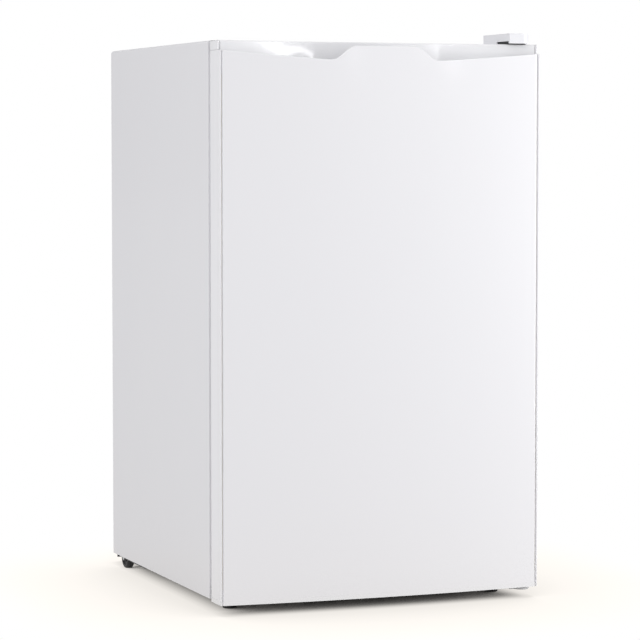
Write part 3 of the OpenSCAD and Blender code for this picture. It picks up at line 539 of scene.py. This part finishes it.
# half of the front seen from above, from its side to its middle
front_path = [(door_half, door_front + set_back - 0.15)] + side_bead(door_front)
for i in range(1, steps_in_groove + 1):
    x = door_half - bead_radius - i * groove_width / steps_in_groove
    front_path.append((x, door_front - swell(x) + groove(x)))
for i in range(1, steps_in_front + 1):
    x = plain_half * (1 - i / steps_in_front)
    front_path.append((x, door_front - swell(x)))
whole_front = [(-x, y) for x, y in front_path[:-1]] + front_path[::-1]


def outward(path, i):
    before, after = path[max(i - 1, 0)], path[min(i + 1, len(path) - 1)]
    dx, dy = after[0] - before[0], after[1] - before[1]
    size = math.hypot(dx, dy)
    return dy / size, -dx / size


hem_radius = 1.1
front_columns = []
for i, (x, y) in enumerate(whole_front):
    out_x, out_y = outward(whole_front, i)
    top = front_edge_height(x)
    column = [mm(x, y, panel_bottom), mm(x, y, panel_bottom + 8), mm(x, y, 300)]
    column += [mm(x, y, 600), mm(x, y, 760), mm(x, y, top - 12), mm(x, y, top - hem_radius - 1)]
    for a in range(0, 181, 20):
        inward = hem_radius * (1 - math.cos(math.radians(a)))
        rise = hem_radius * math.sin(math.radians(a))
        column.append(mm(x - out_x * inward, y - out_y * inward, top - hem_radius + rise))
    deep = 2 * hem_radius
    column.append(mm(x - out_x * deep, y - out_y * deep, top - 9))
    column.append(mm(x - out_x * 0.8, y - out_y * 0.8, top - 10))
    column.append(mm(x - out_x * 0.8, y - out_y * 0.8, top - 30))
    column.append(mm(x - out_x * 0.8, y - out_y * 0.8, panel_bottom))
    front_columns.append(column)

door_enamel = Finish("door_enamel", (0.80, 0.795, 0.82), 0.30)
ripple = door_enamel.effect(ripple_group, Scale=560.0, Slow=4.0)
door_enamel.bump(ripple["Height"], 0.00004, 0.5).roughen(ripple["Cloud"], 0.05)
marks = door_enamel.effect(smudge_group, Scale=4.0)
door_enamel.roughen(marks["Mask"], 0.05)
door_enamel.tint(maths(door_enamel.tree, "MULTIPLY", ripple["Cloud"], 0.3), (0.78, 0.78, 0.81))
door_enamel.coat(0.3, 0.10)

# the hem's corners stand a hair wider than the door, so the sheet is drawn in to fit
front_sheet = sheet_of(front_columns, "door_front_sheet")
widest = max(abs(v.co.x) for v in front_sheet.vertices)
front_sheet.transform(Matrix.Scale(0.25199 / widest, 4, (1, 0, 0)))
link_piece(
    "door_front_sheet", front_sheet, door_enamel, "door", ["door_panel"], 50
)
wear(door_enamel, "door_frame")
soften("door_frame", 0.0003, 2)

# ---------------------------------------------------------------- door end caps
# Both ends of the door are closed by glossy mouldings. The upper one forms the
# handle: behind the dipped edge of the front its wall curves back, and fingers
# reach in from above. The lower one shows as a narrow band.

cap_gloss = Finish("glossy_moulding", (0.80, 0.80, 0.82), 0.09)
ripple = cap_gloss.effect(ripple_group, Scale=210.0, Slow=22.0)
cap_gloss.bump(ripple["Height"], 0.00004, 0.35).roughen(ripple["Cloud"], 0.05)
dust = cap_gloss.effect(dust_group, Amount=0.08)
cap_gloss.tint(dust["Mask"], (0.70, 0.69, 0.67)).roughen(dust["Mask"], 0.3)
cap_gloss.coat(0.5, 0.04)

wall_edge = door_front + set_back + 1
wall_middle = door_front - door_bulge + 40


def wall_depth(x):
    return wall_edge + (wall_middle - wall_edge) * (1 - (x / swell_half) ** 2)


def scoop_floor(x):
    deep = door_top - 42
    reach = abs(x)
    if reach < dip_half:
        return deep
    turn = math.pi * min(1.0, (reach - dip_half) / 60)
    return max(deep, front_edge_height(x) - 6 - 6 * (1 + math.cos(turn)))


cap_half_path = side_bead(door_front + set_back)
for i in range(1, steps_in_groove + 1):
    x = door_half - bead_radius - i * groove_width / steps_in_groove
    ease = min(1.0, max(0.0, (groove_centre + 0.3 - x) / 2.0))
    base = (door_front + set_back) * (1 - ease) + wall_depth(min(x, swell_half)) * ease
    cap_half_path.append((x, base + groove(x)))
for i in range(1, steps_in_front + 1):
    x = plain_half * (1 - i / steps_in_front)
    cap_half_path.append((x, wall_depth(x)))
cap_path = [(-x, y) for x, y in cap_half_path[:-1]] + cap_half_path[::-1]

rim_mesh = bmesh.new()
cap_skirt = door_top - 14 + 0.2
back_line = -8.0
outline = cap_path + [(x, back_line) for x, y in reversed(cap_path)]
path_count = len(cap_path)
rim_radius = 1.5
floor_round = 3.0


def ring_at(level, inset):
    ring = []
    size = len(outline)
    for i, (x, y) in enumerate(outline):
        a, b = outline[i - 1], outline[(i + 1) % size]
        dx, dy = b[0] - a[0], b[1] - a[1]
        length = math.hypot(dx, dy) or 1
        in_x, in_y = -dy / length * inset, dx / length * inset
        ring.append(rim_mesh.verts.new(mm(x + in_x, y + in_y, level(i, x))))
    return ring


def foot_level(i, x):
    if i < path_count and abs(x) < plain_half + 0.1:
        return scoop_floor(x) + floor_round
    return cap_skirt


rings = [ring_at(foot_level, 0), ring_at(lambda i, x: door_top - rim_radius, 0)]
for a in range(18, 91, 18):
    rise = rim_radius * math.sin(math.radians(a))
    inset = rim_radius * (1 - math.cos(math.radians(a)))
    rings.append(ring_at(lambda i, x, r=rise: door_top - rim_radius + r, inset))
for lower, upper in zip(rings, rings[1:]):
    for i in range(len(lower)):
        j = (i + 1) % len(lower)
        rim_mesh.faces.new((lower[i], lower[j], upper[j], upper[i]))
for i in range(path_count - 1):
    back = 2 * path_count - 1 - i
    rim_mesh.faces.new((rings[-1][i], rings[-1][i + 1], rings[-1][back - 1], rings[-1][back]))
# the scoop's floor, rounded where it meets the wall
for i in range(path_count - 1):
    (xa, ya), (xb, yb) = cap_path[i], cap_path[i + 1]
    if max(abs(xa), abs(xb)) >= plain_half + 0.1:
        continue
    strips = []
    for x, y, top in ((xa, ya, rings[0][i]), (xb, yb, rings[0][i + 1])):
        strip = [top]
        floor = scoop_floor(x)
        for a in (30, 60, 90):
            forward = floor_round * (1 - math.cos(math.radians(a)))
            lift_up = floor_round * (1 - math.sin(math.radians(a)))
            strip.append(rim_mesh.verts.new(mm(x, y - forward, floor + lift_up)))
        front = door_front - swell(x) + 1.0
        strip.append(rim_mesh.verts.new(mm(x, front, floor - 0.4)))
        strip.append(rim_mesh.verts.new(mm(x, front, floor - 5)))
        strips.append(strip)
    for k in range(len(strips[0]) - 1):
        rim_mesh.faces.new((strips[0][k], strips[0][k + 1], strips[1][k + 1], strips[1][k]))
bmesh.ops.remove_doubles(rim_mesh, verts=rim_mesh.verts, dist=1e-6)
cap_mesh = bpy.data.meshes.new("door_handle_cap")
rim_mesh.to_mesh(cap_mesh)
rim_mesh.free()
link_piece("door_handle_cap", cap_mesh, cap_gloss, "door", ["door_top_cap"], 40)

wear(cap_gloss, "door_bottom_cap")
soften("door_bottom_cap", 0.0005, 2)

# ---------------------------------------------------------------- top hinge
# A black pressed bracket is screwed to the worktop and holds the upper pin. A white
# snap-on cover hides it, cut away below so that the door's corner can swing by.

cover_gloss = Finish("hinge_cover_moulding", (0.79, 0.79, 0.82), 0.22)
grain = cover_gloss.effect(grain_group, Scale=700.0)
cover_gloss.bump(grain["Height"], 0.00004, 0.5).roughen(grain["Cloud"], 0.08)
wear(cover_gloss, "top_hinge_cover")
soften("top_hinge_cover", 0.0008, 4)

black_enamel = Finish("black_enamel", (0.016, 0.016, 0.018), 0.38)
ripple = black_enamel.effect(ripple_group, Scale=380.0, Slow=18.0)
black_enamel.bump(ripple["Height"], 0.00010, 0.6).roughen(ripple["Cloud"], 0.15)
# painted highlight: the edges of the black enamel are made lighter, as if catching the light
edge_tone = black_enamel.effect(edge_group, Width=0.0008)
black_enamel.tint(maths(black_enamel.tree, "MULTIPLY", edge_tone["Mask"], 0.35), (0.16, 0.16, 0.17))
dust = black_enamel.effect(dust_group, Amount=0.30)
black_enamel.tint(dust["Mask"], (0.30, 0.29, 0.27)).roughen(dust["Mask"], 0.4)
wear(
    black_enamel, "top_hinge_bracket", "compressor", "base_plate", "condenser_tube",
    "condenser_wires",
)
soften("top_hinge_bracket", 0.0004, 2)

grey_enamel = Finish("grey_enamel", (0.60, 0.61, 0.63), 0.36)
ripple = grey_enamel.effect(ripple_group, Scale=420.0, Slow=20.0)
grey_enamel.bump(ripple["Height"], 0.00006, 0.5).roughen(ripple["Cloud"], 0.08)
# darker along the edges and creases of the grey enamel
edge_tone = grey_enamel.effect(edge_group, Width=0.0008)
grey_enamel.tint(maths(grey_enamel.tree, "MULTIPLY", edge_tone["Mask"], 0.4), (0.42, 0.42, 0.43))
wear(grey_enamel, "bottom_hinge_bracket", "left_foot_plate")
soften("bottom_hinge_bracket", 0.0005, 3)
soften("left_foot_plate", 0.0005, 3)

# ---------------------------------------------------------------- screws, nuts and axles
# All fixings are zinc-plated. The screws have domed heads with a cross recess. They
# hold the hinge bracket under its cover, the two brackets under the floor, and the
# freezer box below the liner's ceiling.

zinc = Finish("zinc_plate", (0.62, 0.64, 0.66), 0.28, 1.0)
lines = zinc.effect(rolling_group, Scale=900.0)
zinc.bump(lines["Height"], 0.00004, 0.5).roughen(lines["Cloud"], 0.18)


def islands(name):
    """Lowest and highest corners of each separate solid of a CAD node."""
    solid = bmesh.new()
    solid.from_mesh(node_objects[name].data)
    bmesh.ops.remove_doubles(solid, verts=solid.verts, dist=2e-6)
    left, found = set(solid.verts), []
    while left:
        group, front = set(), [left.pop()]
        while front:
            vert = front.pop()
            group.add(vert)
            for edge in vert.link_edges:
                other = edge.other_vert(vert)
                if other in left:
                    left.remove(other)
                    front.append(other)
        low = Vector([min(v.co[i] for v in group) for i in range(3)])
        high = Vector([max(v.co[i] for v in group) for i in range(3)])
        found.append((low, high))
    solid.free()
    return sorted(found, key=lambda pair: tuple(round(c, 5) for c in pair[0]))


def turned(rings, around, turn=None, start=None, name="turned"):
    """A closed mesh from rings of (radius, height), with an optional change per angle."""
    points, faces = [], []
    for radius, height in rings:
        for k in range(around):
            angle = 2 * math.pi * k / around
            r, h = turn(radius, height, angle) if turn else (radius, height)
            points.append((r * math.cos(angle), r * math.sin(angle), h))
    for i in range(len(rings) - 1):
        for k in range(around):
            n = (k + 1) % around
            low, high = i * around, (i + 1) * around
            faces.append((low + k, low + n, high + n, high + k))
    faces.append(tuple(range(around))[::-1])
    last = (len(rings) - 1) * around
    faces.append(tuple(range(last, last + around)))
    mesh = bpy.data.meshes.new(name)
    mesh.from_pydata(points, [], faces)
    if start is not None:
        mesh.transform(start)
    return mesh


def joined(meshes, name):
    whole = bmesh.new()
    for mesh in meshes:
        whole.from_mesh(mesh)
        bpy.data.meshes.remove(mesh)
    result = bpy.data.meshes.new(name)
    whole.to_mesh(result)
    whole.free()
    return result


def screw_head(low, high, axis):
    """A domed cross-recess head and its shank, filling the box of a CAD screw."""
    sizes = high - low
    span = [sizes[i] for i in range(3) if i != axis[0]]
    radius, length = max(span) / 2, sizes[axis[0]]
    dome = 0.55 * radius

    def recess(r, h, angle):
        across = min(abs(r * math.cos(angle)), abs(r * math.sin(angle)))
        if h > length - dome and r < 0.56 * radius and across < 0.15 * radius:
            return r, h - 0.30 * radius * (1 - r / radius / 0.7)
        return r, h

    rings = [(0.55 * radius, 0), (0.55 * radius, length - dome), (0.94 * radius, length - dome)]
    rings += [(radius, length - dome * 0.9)]
    for part in (0.97, 0.88, 0.74, 0.58, 0.5, 0.36, 0.2, 0.06):
        crown = 0.88 * dome * math.sqrt(1 - part * part)
        rings.append((radius * part, length - dome * 0.9 + crown))
    middle = (low + high) / 2
    face, sign = axis
    up = Vector((0, 0, 0))
    up[face] = sign
    foot = middle - up * length / 2
    place = Matrix.Translation(foot) @ up.to_track_quat("Z", "Y").to_matrix().to_4x4()
    return turned(rings, 32, recess, place)


for node_name, axis in (
    ("top_hinge_screws", (2, 1)), ("bracket_screws", (2, -1)), ("evaporator_screws", (1, -1)),
):
    heads = [screw_head(low, high, axis) for low, high in islands(node_name)]
    link_piece(
        node_name + "_cross_heads", joined(heads, node_name), zinc, "cabinet",
        [node_name], 30,
    )
wear(zinc, "roller_axles", "compressor_nuts")
soften("roller_axles", 0.0003, 2)
soften("compressor_nuts", 0.0003, 2)

# ---------------------------------------------------------------- feet and rollers
# Two black moulded feet turn on threaded studs under the front corners, with flutes
# for the fingers. Two black rollers carry the back.

black_plastic = Finish("black_moulding", (0.022, 0.022, 0.024), 0.42)
grain = black_plastic.effect(grain_group, Scale=520.0)
black_plastic.bump(grain["Height"], 0.00010, 0.6).roughen(grain["Cloud"], 0.18)
dust = black_plastic.effect(dust_group, Amount=0.30)
black_plastic.tint(dust["Mask"], (0.28, 0.27, 0.25)).roughen(dust["Mask"], 0.4)

for side in ("left", "right"):
    low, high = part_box("levelling_foot_" + side)
    middle = (low + high) / 2
    wide = (high.x - low.x) / 2

    def fluted(r, h, angle, wide=wide):
        if 0.0012 < h < 0.0105 and r > 0.7 * wide:
            return r * (1 - 0.045 * (0.5 + 0.5 * math.cos(20 * angle)) ** 2), h
        return r, h

    rings = [(0.70 * wide, 0), (0.76 * wide, 0.0004), (0.79 * wide, 0.0014)]
    rings += [(wide * (0.80 + 0.19 * k / 6), 0.0014 + 0.0088 * k / 6) for k in range(1, 7)]
    rings += [(wide, 0.0110), (0.985 * wide, 0.0117), (0.94 * wide, 0.0120), (0.50 * wide, 0.0120)]
    thread = []
    count = int((high.z - 0.0125) / 0.0005)
    for k in range(count):
        crest = 0.0040 - 0.00045 * (0.5 + 0.5 * math.cos(2 * math.pi * k / 2.5))
        thread.append((crest, 0.0122 + 0.0005 * k))
    rings += thread
    rings.append((0.0030, high.z))
    foot = turned(rings, 80, fluted, Matrix.Translation((middle.x, middle.y, 0)))
    link_piece(
        "fluted_foot_" + side, foot, black_plastic,
        "levelling_foot_" + side, ["levelling_foot_" + side], 40,
    )

    low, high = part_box("rear_roller_" + side)
    middle = (low + high) / 2
    radius, width = (high.z - low.z) / 2, high.x - low.x

    def spoked(r, h, angle, radius=radius, width=width):
        if 0.40 * radius < r < 0.76 * radius:
            web = max(0.0, math.cos(5 * angle)) ** 0.5
            outer = abs(h) > 0.42 * width
            return (r, h * (0.55 + 0.45 * web)) if outer else (r, h)
        return r, h

    rings = []
    for part, out in (
        (0.20, 0.50), (0.34, 0.50), (0.38, 0.47), (0.42, 0.44), (0.58, 0.44), (0.74, 0.44),
        (0.78, 0.47), (0.86, 0.50), (0.93, 0.49), (0.98, 0.44), (1.0, 0.36), (1.0, 0.06),
        (0.965, 0.0),
    ):
        rings.append((part * radius, -out * width))
    rings = rings + [(r, -h) for r, h in rings[-2::-1]]
    turn = Matrix.Translation(middle) @ Matrix.Rotation(math.radians(90), 4, "Y")
    link_piece(
        "spoked_roller_" + side, turned(rings, 90, spoked, turn), black_plastic,
        "rear_roller_" + side, ["rear_roller_" + side], 40,
    )

# ---------------------------------------------------------------- door seal and liner
# A soft white profile runs round the door's back: a lip towards the edge, a bellows,
# and a flat magnetic strip that lies on the cabinet. The white liner behind it is
# drawn from one sheet, with a raised rim that carries the racks.

liner_white = Finish("liner_plastic", (0.80, 0.81, 0.82), 0.24)
ripple = liner_white.effect(ripple_group, Scale=160.0, Slow=7.0)
liner_white.bump(ripple["Height"], 0.00010, 0.4).roughen(ripple["Cloud"], 0.10)
marks = liner_white.effect(smudge_group, Scale=7.0)
liner_white.roughen(marks["Mask"], 0.08)
wear(liner_white, "inner_liner", "door_liner")
soften("door_liner", 0.0016, 4, 40)
soften("inner_liner", 0.0012, 3, 40)

seal_white = Finish("seal_rubber", (0.90, 0.90, 0.91), 0.5)
grain = seal_white.effect(grain_group, Scale=1100.0)
seal_white.bump(grain["Height"], 0.00004, 0.6).roughen(grain["Cloud"], 0.15)
seal_profile = (
    (0, -6.4), (0, -3.4), (1.6, -2.8), (0.9, -2.1), (1.7, -1.4), (1.1, -0.7), (2.4, -0.3),
    (13.2, -0.3), (14.8, -0.8), (14.2, -1.5), (15.0, -2.1), (16.0, -2.2),
    (20.0, -1.6), (26.0, -1.0), (29.2, -0.9), (30.0, -1.7), (30.0, -5.6), (29.2, -6.4),
)
lip_reach = {0: 10.5, 90: 11.0, 180: 17.6, 270: 8.0, 360: 10.5}
inner_half, inner_low, inner_high, corner = 216.0, 49.0, 798.0, 4.0
seal_columns = []
for quarter, (cx, cz) in enumerate(
    (
        (inner_half - corner, inner_high - corner), (corner - inner_half, inner_high - corner),
        (corner - inner_half, inner_low + corner), (inner_half - corner, inner_low + corner),
    )
):
    for step in range(0, 10):
        share = step / 9
        a = math.radians(90 * (quarter + share))
        reach = lip_reach[90 * quarter] * (1 - share) + lip_reach[90 * quarter + 90] * share
        column = []
        for u, y in seal_profile:
            run = u if u < 16 else 16 + (u - 16) * reach / 14.0
            out = corner + run
            column.append(mm(cx + out * math.cos(a), y, cz + out * math.sin(a)))
        column.append(column[0])
        seal_columns.append(column)
seal_mesh = sheet_of(seal_columns, "door_seal", closed=True)
seal_shape = bmesh.new()
seal_shape.from_mesh(seal_mesh)
bmesh.ops.remove_doubles(seal_shape, verts=seal_shape.verts, dist=1e-6)
bmesh.ops.recalc_face_normals(seal_shape, faces=seal_shape.faces)
seal_shape.to_mesh(seal_mesh)
seal_shape.free()
link_piece("door_seal", seal_mesh, seal_white, "door", ["door_gasket"], 60)

# ---------------------------------------------------------------- compressor bay
# The welded black shell of the compressor stands on rubber mounts on a pressed
# plate. A tray on its top catches and dries the melt water, and copper pipes lead to
# the drier and to the black wire condenser on the back.

black_rubber = Finish("black_rubber", (0.018, 0.018, 0.018), 0.75)
grain = black_rubber.effect(grain_group, Scale=900.0)
black_rubber.bump(grain["Height"], 0.00008, 0.6).tint(grain["Cloud"], (0.03, 0.03, 0.03))
wear(black_rubber, "compressor_grommets", "cord_gland")
wear(black_plastic, "relay_cover", "evaporation_tray", "condenser_brackets")
for name, width in (
    ("compressor", 0.0008), ("base_plate", 0.0005), ("compressor_grommets", 0.0008),
    ("cord_gland", 0.0006), ("relay_cover", 0.0018), ("evaporation_tray", 0.0005),
    ("condenser_brackets", 0.0012),
):
    soften(name, width, 3, 38)

copper = Finish("copper_tube", (0.70, 0.32, 0.18), 0.30, 1.0)
ripple = copper.effect(ripple_group, Scale=160.0, Slow=26.0)
copper.tint(ripple["Cloud"], (0.45, 0.18, 0.10)).roughen(ripple["Cloud"], 0.25)
wear(copper, "filter_drier", "refrigerant_pipes")
soften("filter_drier", 0.0008, 3)

# ---------------------------------------------------------------- freezer box
# The evaporator is a box folded from roll-bonded aluminium, whose channels stand out
# as flat ridges. A white frame trims its mouth, and a clear flap closes it.

aluminium = Finish("aluminium_sheet", (0.80, 0.81, 0.82), 0.52, 0.55)
lines = aluminium.effect(rolling_group, Scale=420.0)
aluminium.bump(lines["Height"], 0.00005, 0.5).roughen(lines["Cloud"], 0.2)
wear(aluminium, "evaporator_box")
soften("evaporator_box", 0.0006, 3)
box_low, box_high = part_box("evaporator_box")


def ridge(points, radius, flat, name):
    """A half-round ridge along points on a level face, flattened in Z."""
    columns = []
    for i, point in enumerate(points):
        before, after = points[max(i - 1, 0)], points[min(i + 1, len(points) - 1)]
        way = (after - before).normalized()
        side = Vector((-way.y, way.x, 0))
        column = []
        for a in range(0, 181, 20):
            r = radius * (0.35 if i in (0, len(points) - 1) else 1.0)
            across = side * r * math.cos(math.radians(a))
            column.append(point + across + Vector((0, 0, flat * math.sin(math.radians(a)))))
        columns.append(column)
    return sheet_of(columns, name)


channel_path = []
run_near, run_far = box_low.y + 0.03, box_high.y - 0.04
lanes = 9
for lane in range(lanes):
    x = box_low.x + 0.03 + (box_high.x - box_low.x - 0.06) * lane / (lanes - 1)
    bend = (box_high.x - box_low.x - 0.06) / (lanes - 1) / 2
    ends = (run_near, run_far) if lane % 2 == 0 else (run_far, run_near)
    channel_path += [Vector((x, ends[0], 0)), Vector((x, ends[1], 0))]
    if lane < lanes - 1:
        turn_way = 1 if lane % 2 == 0 else -1
        for k in range(1, 8):
            a = math.pi * k / 8
            round_x = x + bend - bend * math.cos(a)
            round_y = ends[1] + turn_way * bend * 0.9 * math.sin(a)
            channel_path.append(Vector((round_x, round_y, 0)))
floor_level = box_low.z + 0.0012
channel_floor = [p + Vector((0, 0, floor_level)) for p in channel_path]
channels = ridge(channel_floor, 0.0045, 0.0016, "channels")
link_piece("evaporator_channels", channels, aluminium, "cabinet", (), 60)

trim_white = Finish("trim_plastic", (0.80, 0.81, 0.82), 0.36)
grain = trim_white.effect(grain_group, Scale=800.0)
trim_white.bump(grain["Height"], 0.00005, 0.5).roughen(grain["Cloud"], 0.12)
wear(
    trim_white, "freezer_frame", "shelf_trim_upper", "shelf_trim_lower", "crisper_trim",
    "thermostat_housing", "lamp_holder", "switch_housing", "hinge_hole_plugs",
)
for name, width in (
    ("freezer_frame", 0.0015), ("shelf_trim_upper", 0.0009), ("shelf_trim_lower", 0.0009),
    ("crisper_trim", 0.0009), ("thermostat_housing", 0.0020), ("lamp_holder", 0.0006),
    ("switch_housing", 0.0010), ("hinge_hole_plugs", 0.0006),
):
    soften(name, width, 4, 38)

# ---------------------------------------------------------------- clear mouldings
# The flap, the chiller tray, the crisper and the door racks are injected in clear
# polystyrene with a slight blue cast, with rounded edges and a stiffening rib or two.

clear_plastic = Finish("clear_moulding", (0.88, 0.94, 0.97), 0.08)
clear_plastic.shader.inputs["Transmission Weight"].default_value = 0.80
clear_plastic.shader.inputs["IOR"].default_value = 1.25
ripple = clear_plastic.effect(ripple_group, Scale=70.0, Slow=12.0)
clear_plastic.bump(ripple["Height"], 0.0002, 0.25).roughen(ripple["Cloud"], 0.10)
wear(
    clear_plastic, "freezer_flap", "chiller_tray", "crisper_drawer",
    "rack_upper", "rack_middle", "rack_lower",
)
for name, width in (
    ("freezer_flap", 0.0012), ("chiller_tray", 0.0008), ("crisper_drawer", 0.0008),
    ("rack_upper", 0.0007), ("rack_middle", 0.0007), ("rack_lower", 0.0007),
):
    soften(name, width, 3, 38)


def flute(x, z0, z1, y, radius, name):
    """An upright half-round rib on a face that looks towards -Y."""
    columns = []
    for a in range(0, 181, 22):
        c, t = math.cos(math.radians(a)), math.sin(math.radians(a))
        columns.append(
            [Vector((x + radius * c, y - radius * 0.7 * t * k, z)) for z, k in
             ((z0, 0.0), (z0 + radius, 0.8), (z0 + 2 * radius, 1.0), (z1 - 2 * radius, 1.0),
              (z1 - radius, 0.8), (z1, 0.0))]
        )
    return sheet_of(columns, name)


drawer_low, drawer_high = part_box("crisper_drawer")
drawer_front = drawer_low.y + 0.009
flutes = [
    flute(drawer_low.x + 0.03 + 0.0235 * i, drawer_low.z + 0.025, drawer_high.z - 0.035,
          drawer_front + 0.0002, 0.0016, "flute")
    for i in range(16)
]
link_piece(
    "crisper_flutes", joined(flutes, "crisper_flutes"), clear_plastic,
    "crisper_drawer", (), 60,
)

shelf_glass = Finish("toughened_glass", (0.80, 0.93, 0.89), 0.02)
shelf_glass.shader.inputs["Transmission Weight"].default_value = 1.0
shelf_glass.shader.inputs["IOR"].default_value = 1.35
marks = shelf_glass.effect(smudge_group, Scale=9.0)
shelf_glass.roughen(marks["Mask"], 0.06)
wear(shelf_glass, "shelf_glass_upper", "shelf_glass_lower", "crisper_cover")
for name in ("shelf_glass_upper", "shelf_glass_lower", "crisper_cover"):
    soften(name, 0.0008, 3)

# ---------------------------------------------------------------- thermostat and lamp
# A white housing on the right wall holds the thermostat and the lamp. The knob has
# finger hollows and a dot, and points to a ring of raised marks that grow longer
# towards the coldest setting. A milky window covers the lamp.

wear(cap_gloss, "thermostat_knob", "switch_plunger")
soften("thermostat_knob", 0.0008, 3)
soften("switch_plunger", 0.0005, 3)
knob_low, knob_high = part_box("thermostat_knob")
house_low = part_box("thermostat_housing")[0]
knob_middle = (knob_low + knob_high) / 2
tick_ink = Finish("dial_ink", (0.06, 0.07, 0.09), 0.5)
grain = tick_ink.effect(grain_group, Scale=1200.0)
tick_ink.tint(grain["Cloud"], (0.10, 0.11, 0.13)).roughen(grain["Cloud"], 0.1)
ticks = []
for k in range(8):
    a = math.radians(-130 + 260 * k / 7)
    length, width = 0.0018 + 0.0005 * k, 0.0007
    base = 0.0200
    columns = []
    for across in (-width, -width * 0.5, width * 0.5, width):
        column = []
        for along, rise in ((0, 0.0), (0.0004, 0.00035), (length - 0.0004, 0.00035), (length, 0.0)):
            r = base + along
            out = rise if abs(across) < width else 0.0
            y = r * math.sin(a) + across * math.cos(a)
            z = r * math.cos(a) - across * math.sin(a)
            column.append(
                Vector((house_low.x - out - 0.00002, knob_middle.y + y, knob_middle.z + z))
            )
        columns.append(column)
    ticks.append(sheet_of(columns, "tick"))
link_piece(
    "thermostat_marks", joined(ticks, "thermostat_marks"), tick_ink,
    "cabinet", (), 60,
)

milky = Finish("milky_window", (0.86, 0.86, 0.83), 0.30)
milky.shader.inputs["Transmission Weight"].default_value = 0.35
grain = milky.effect(grain_group, Scale=500.0)
milky.bump(grain["Height"], 0.0001, 0.6).roughen(grain["Cloud"], 0.1)
wear(milky, "lamp_cover")
soften("lamp_cover", 0.0005, 3)
bulb_glass = Finish("lamp_glass", (0.98, 0.96, 0.90), 0.12)
bulb_glass.shader.inputs["Transmission Weight"].default_value = 0.8
marks = bulb_glass.effect(smudge_group, Scale=40.0)
bulb_glass.roughen(marks["Mask"], 0.1)
wear(bulb_glass, "lamp_bulb")

nylon = Finish("natural_nylon", (0.78, 0.78, 0.74), 0.45)
grain = nylon.effect(grain_group, Scale=700.0)
nylon.bump(grain["Height"], 0.00005, 0.5).roughen(grain["Cloud"], 0.12)
wear(nylon, "door_bushes", "drain_tube")
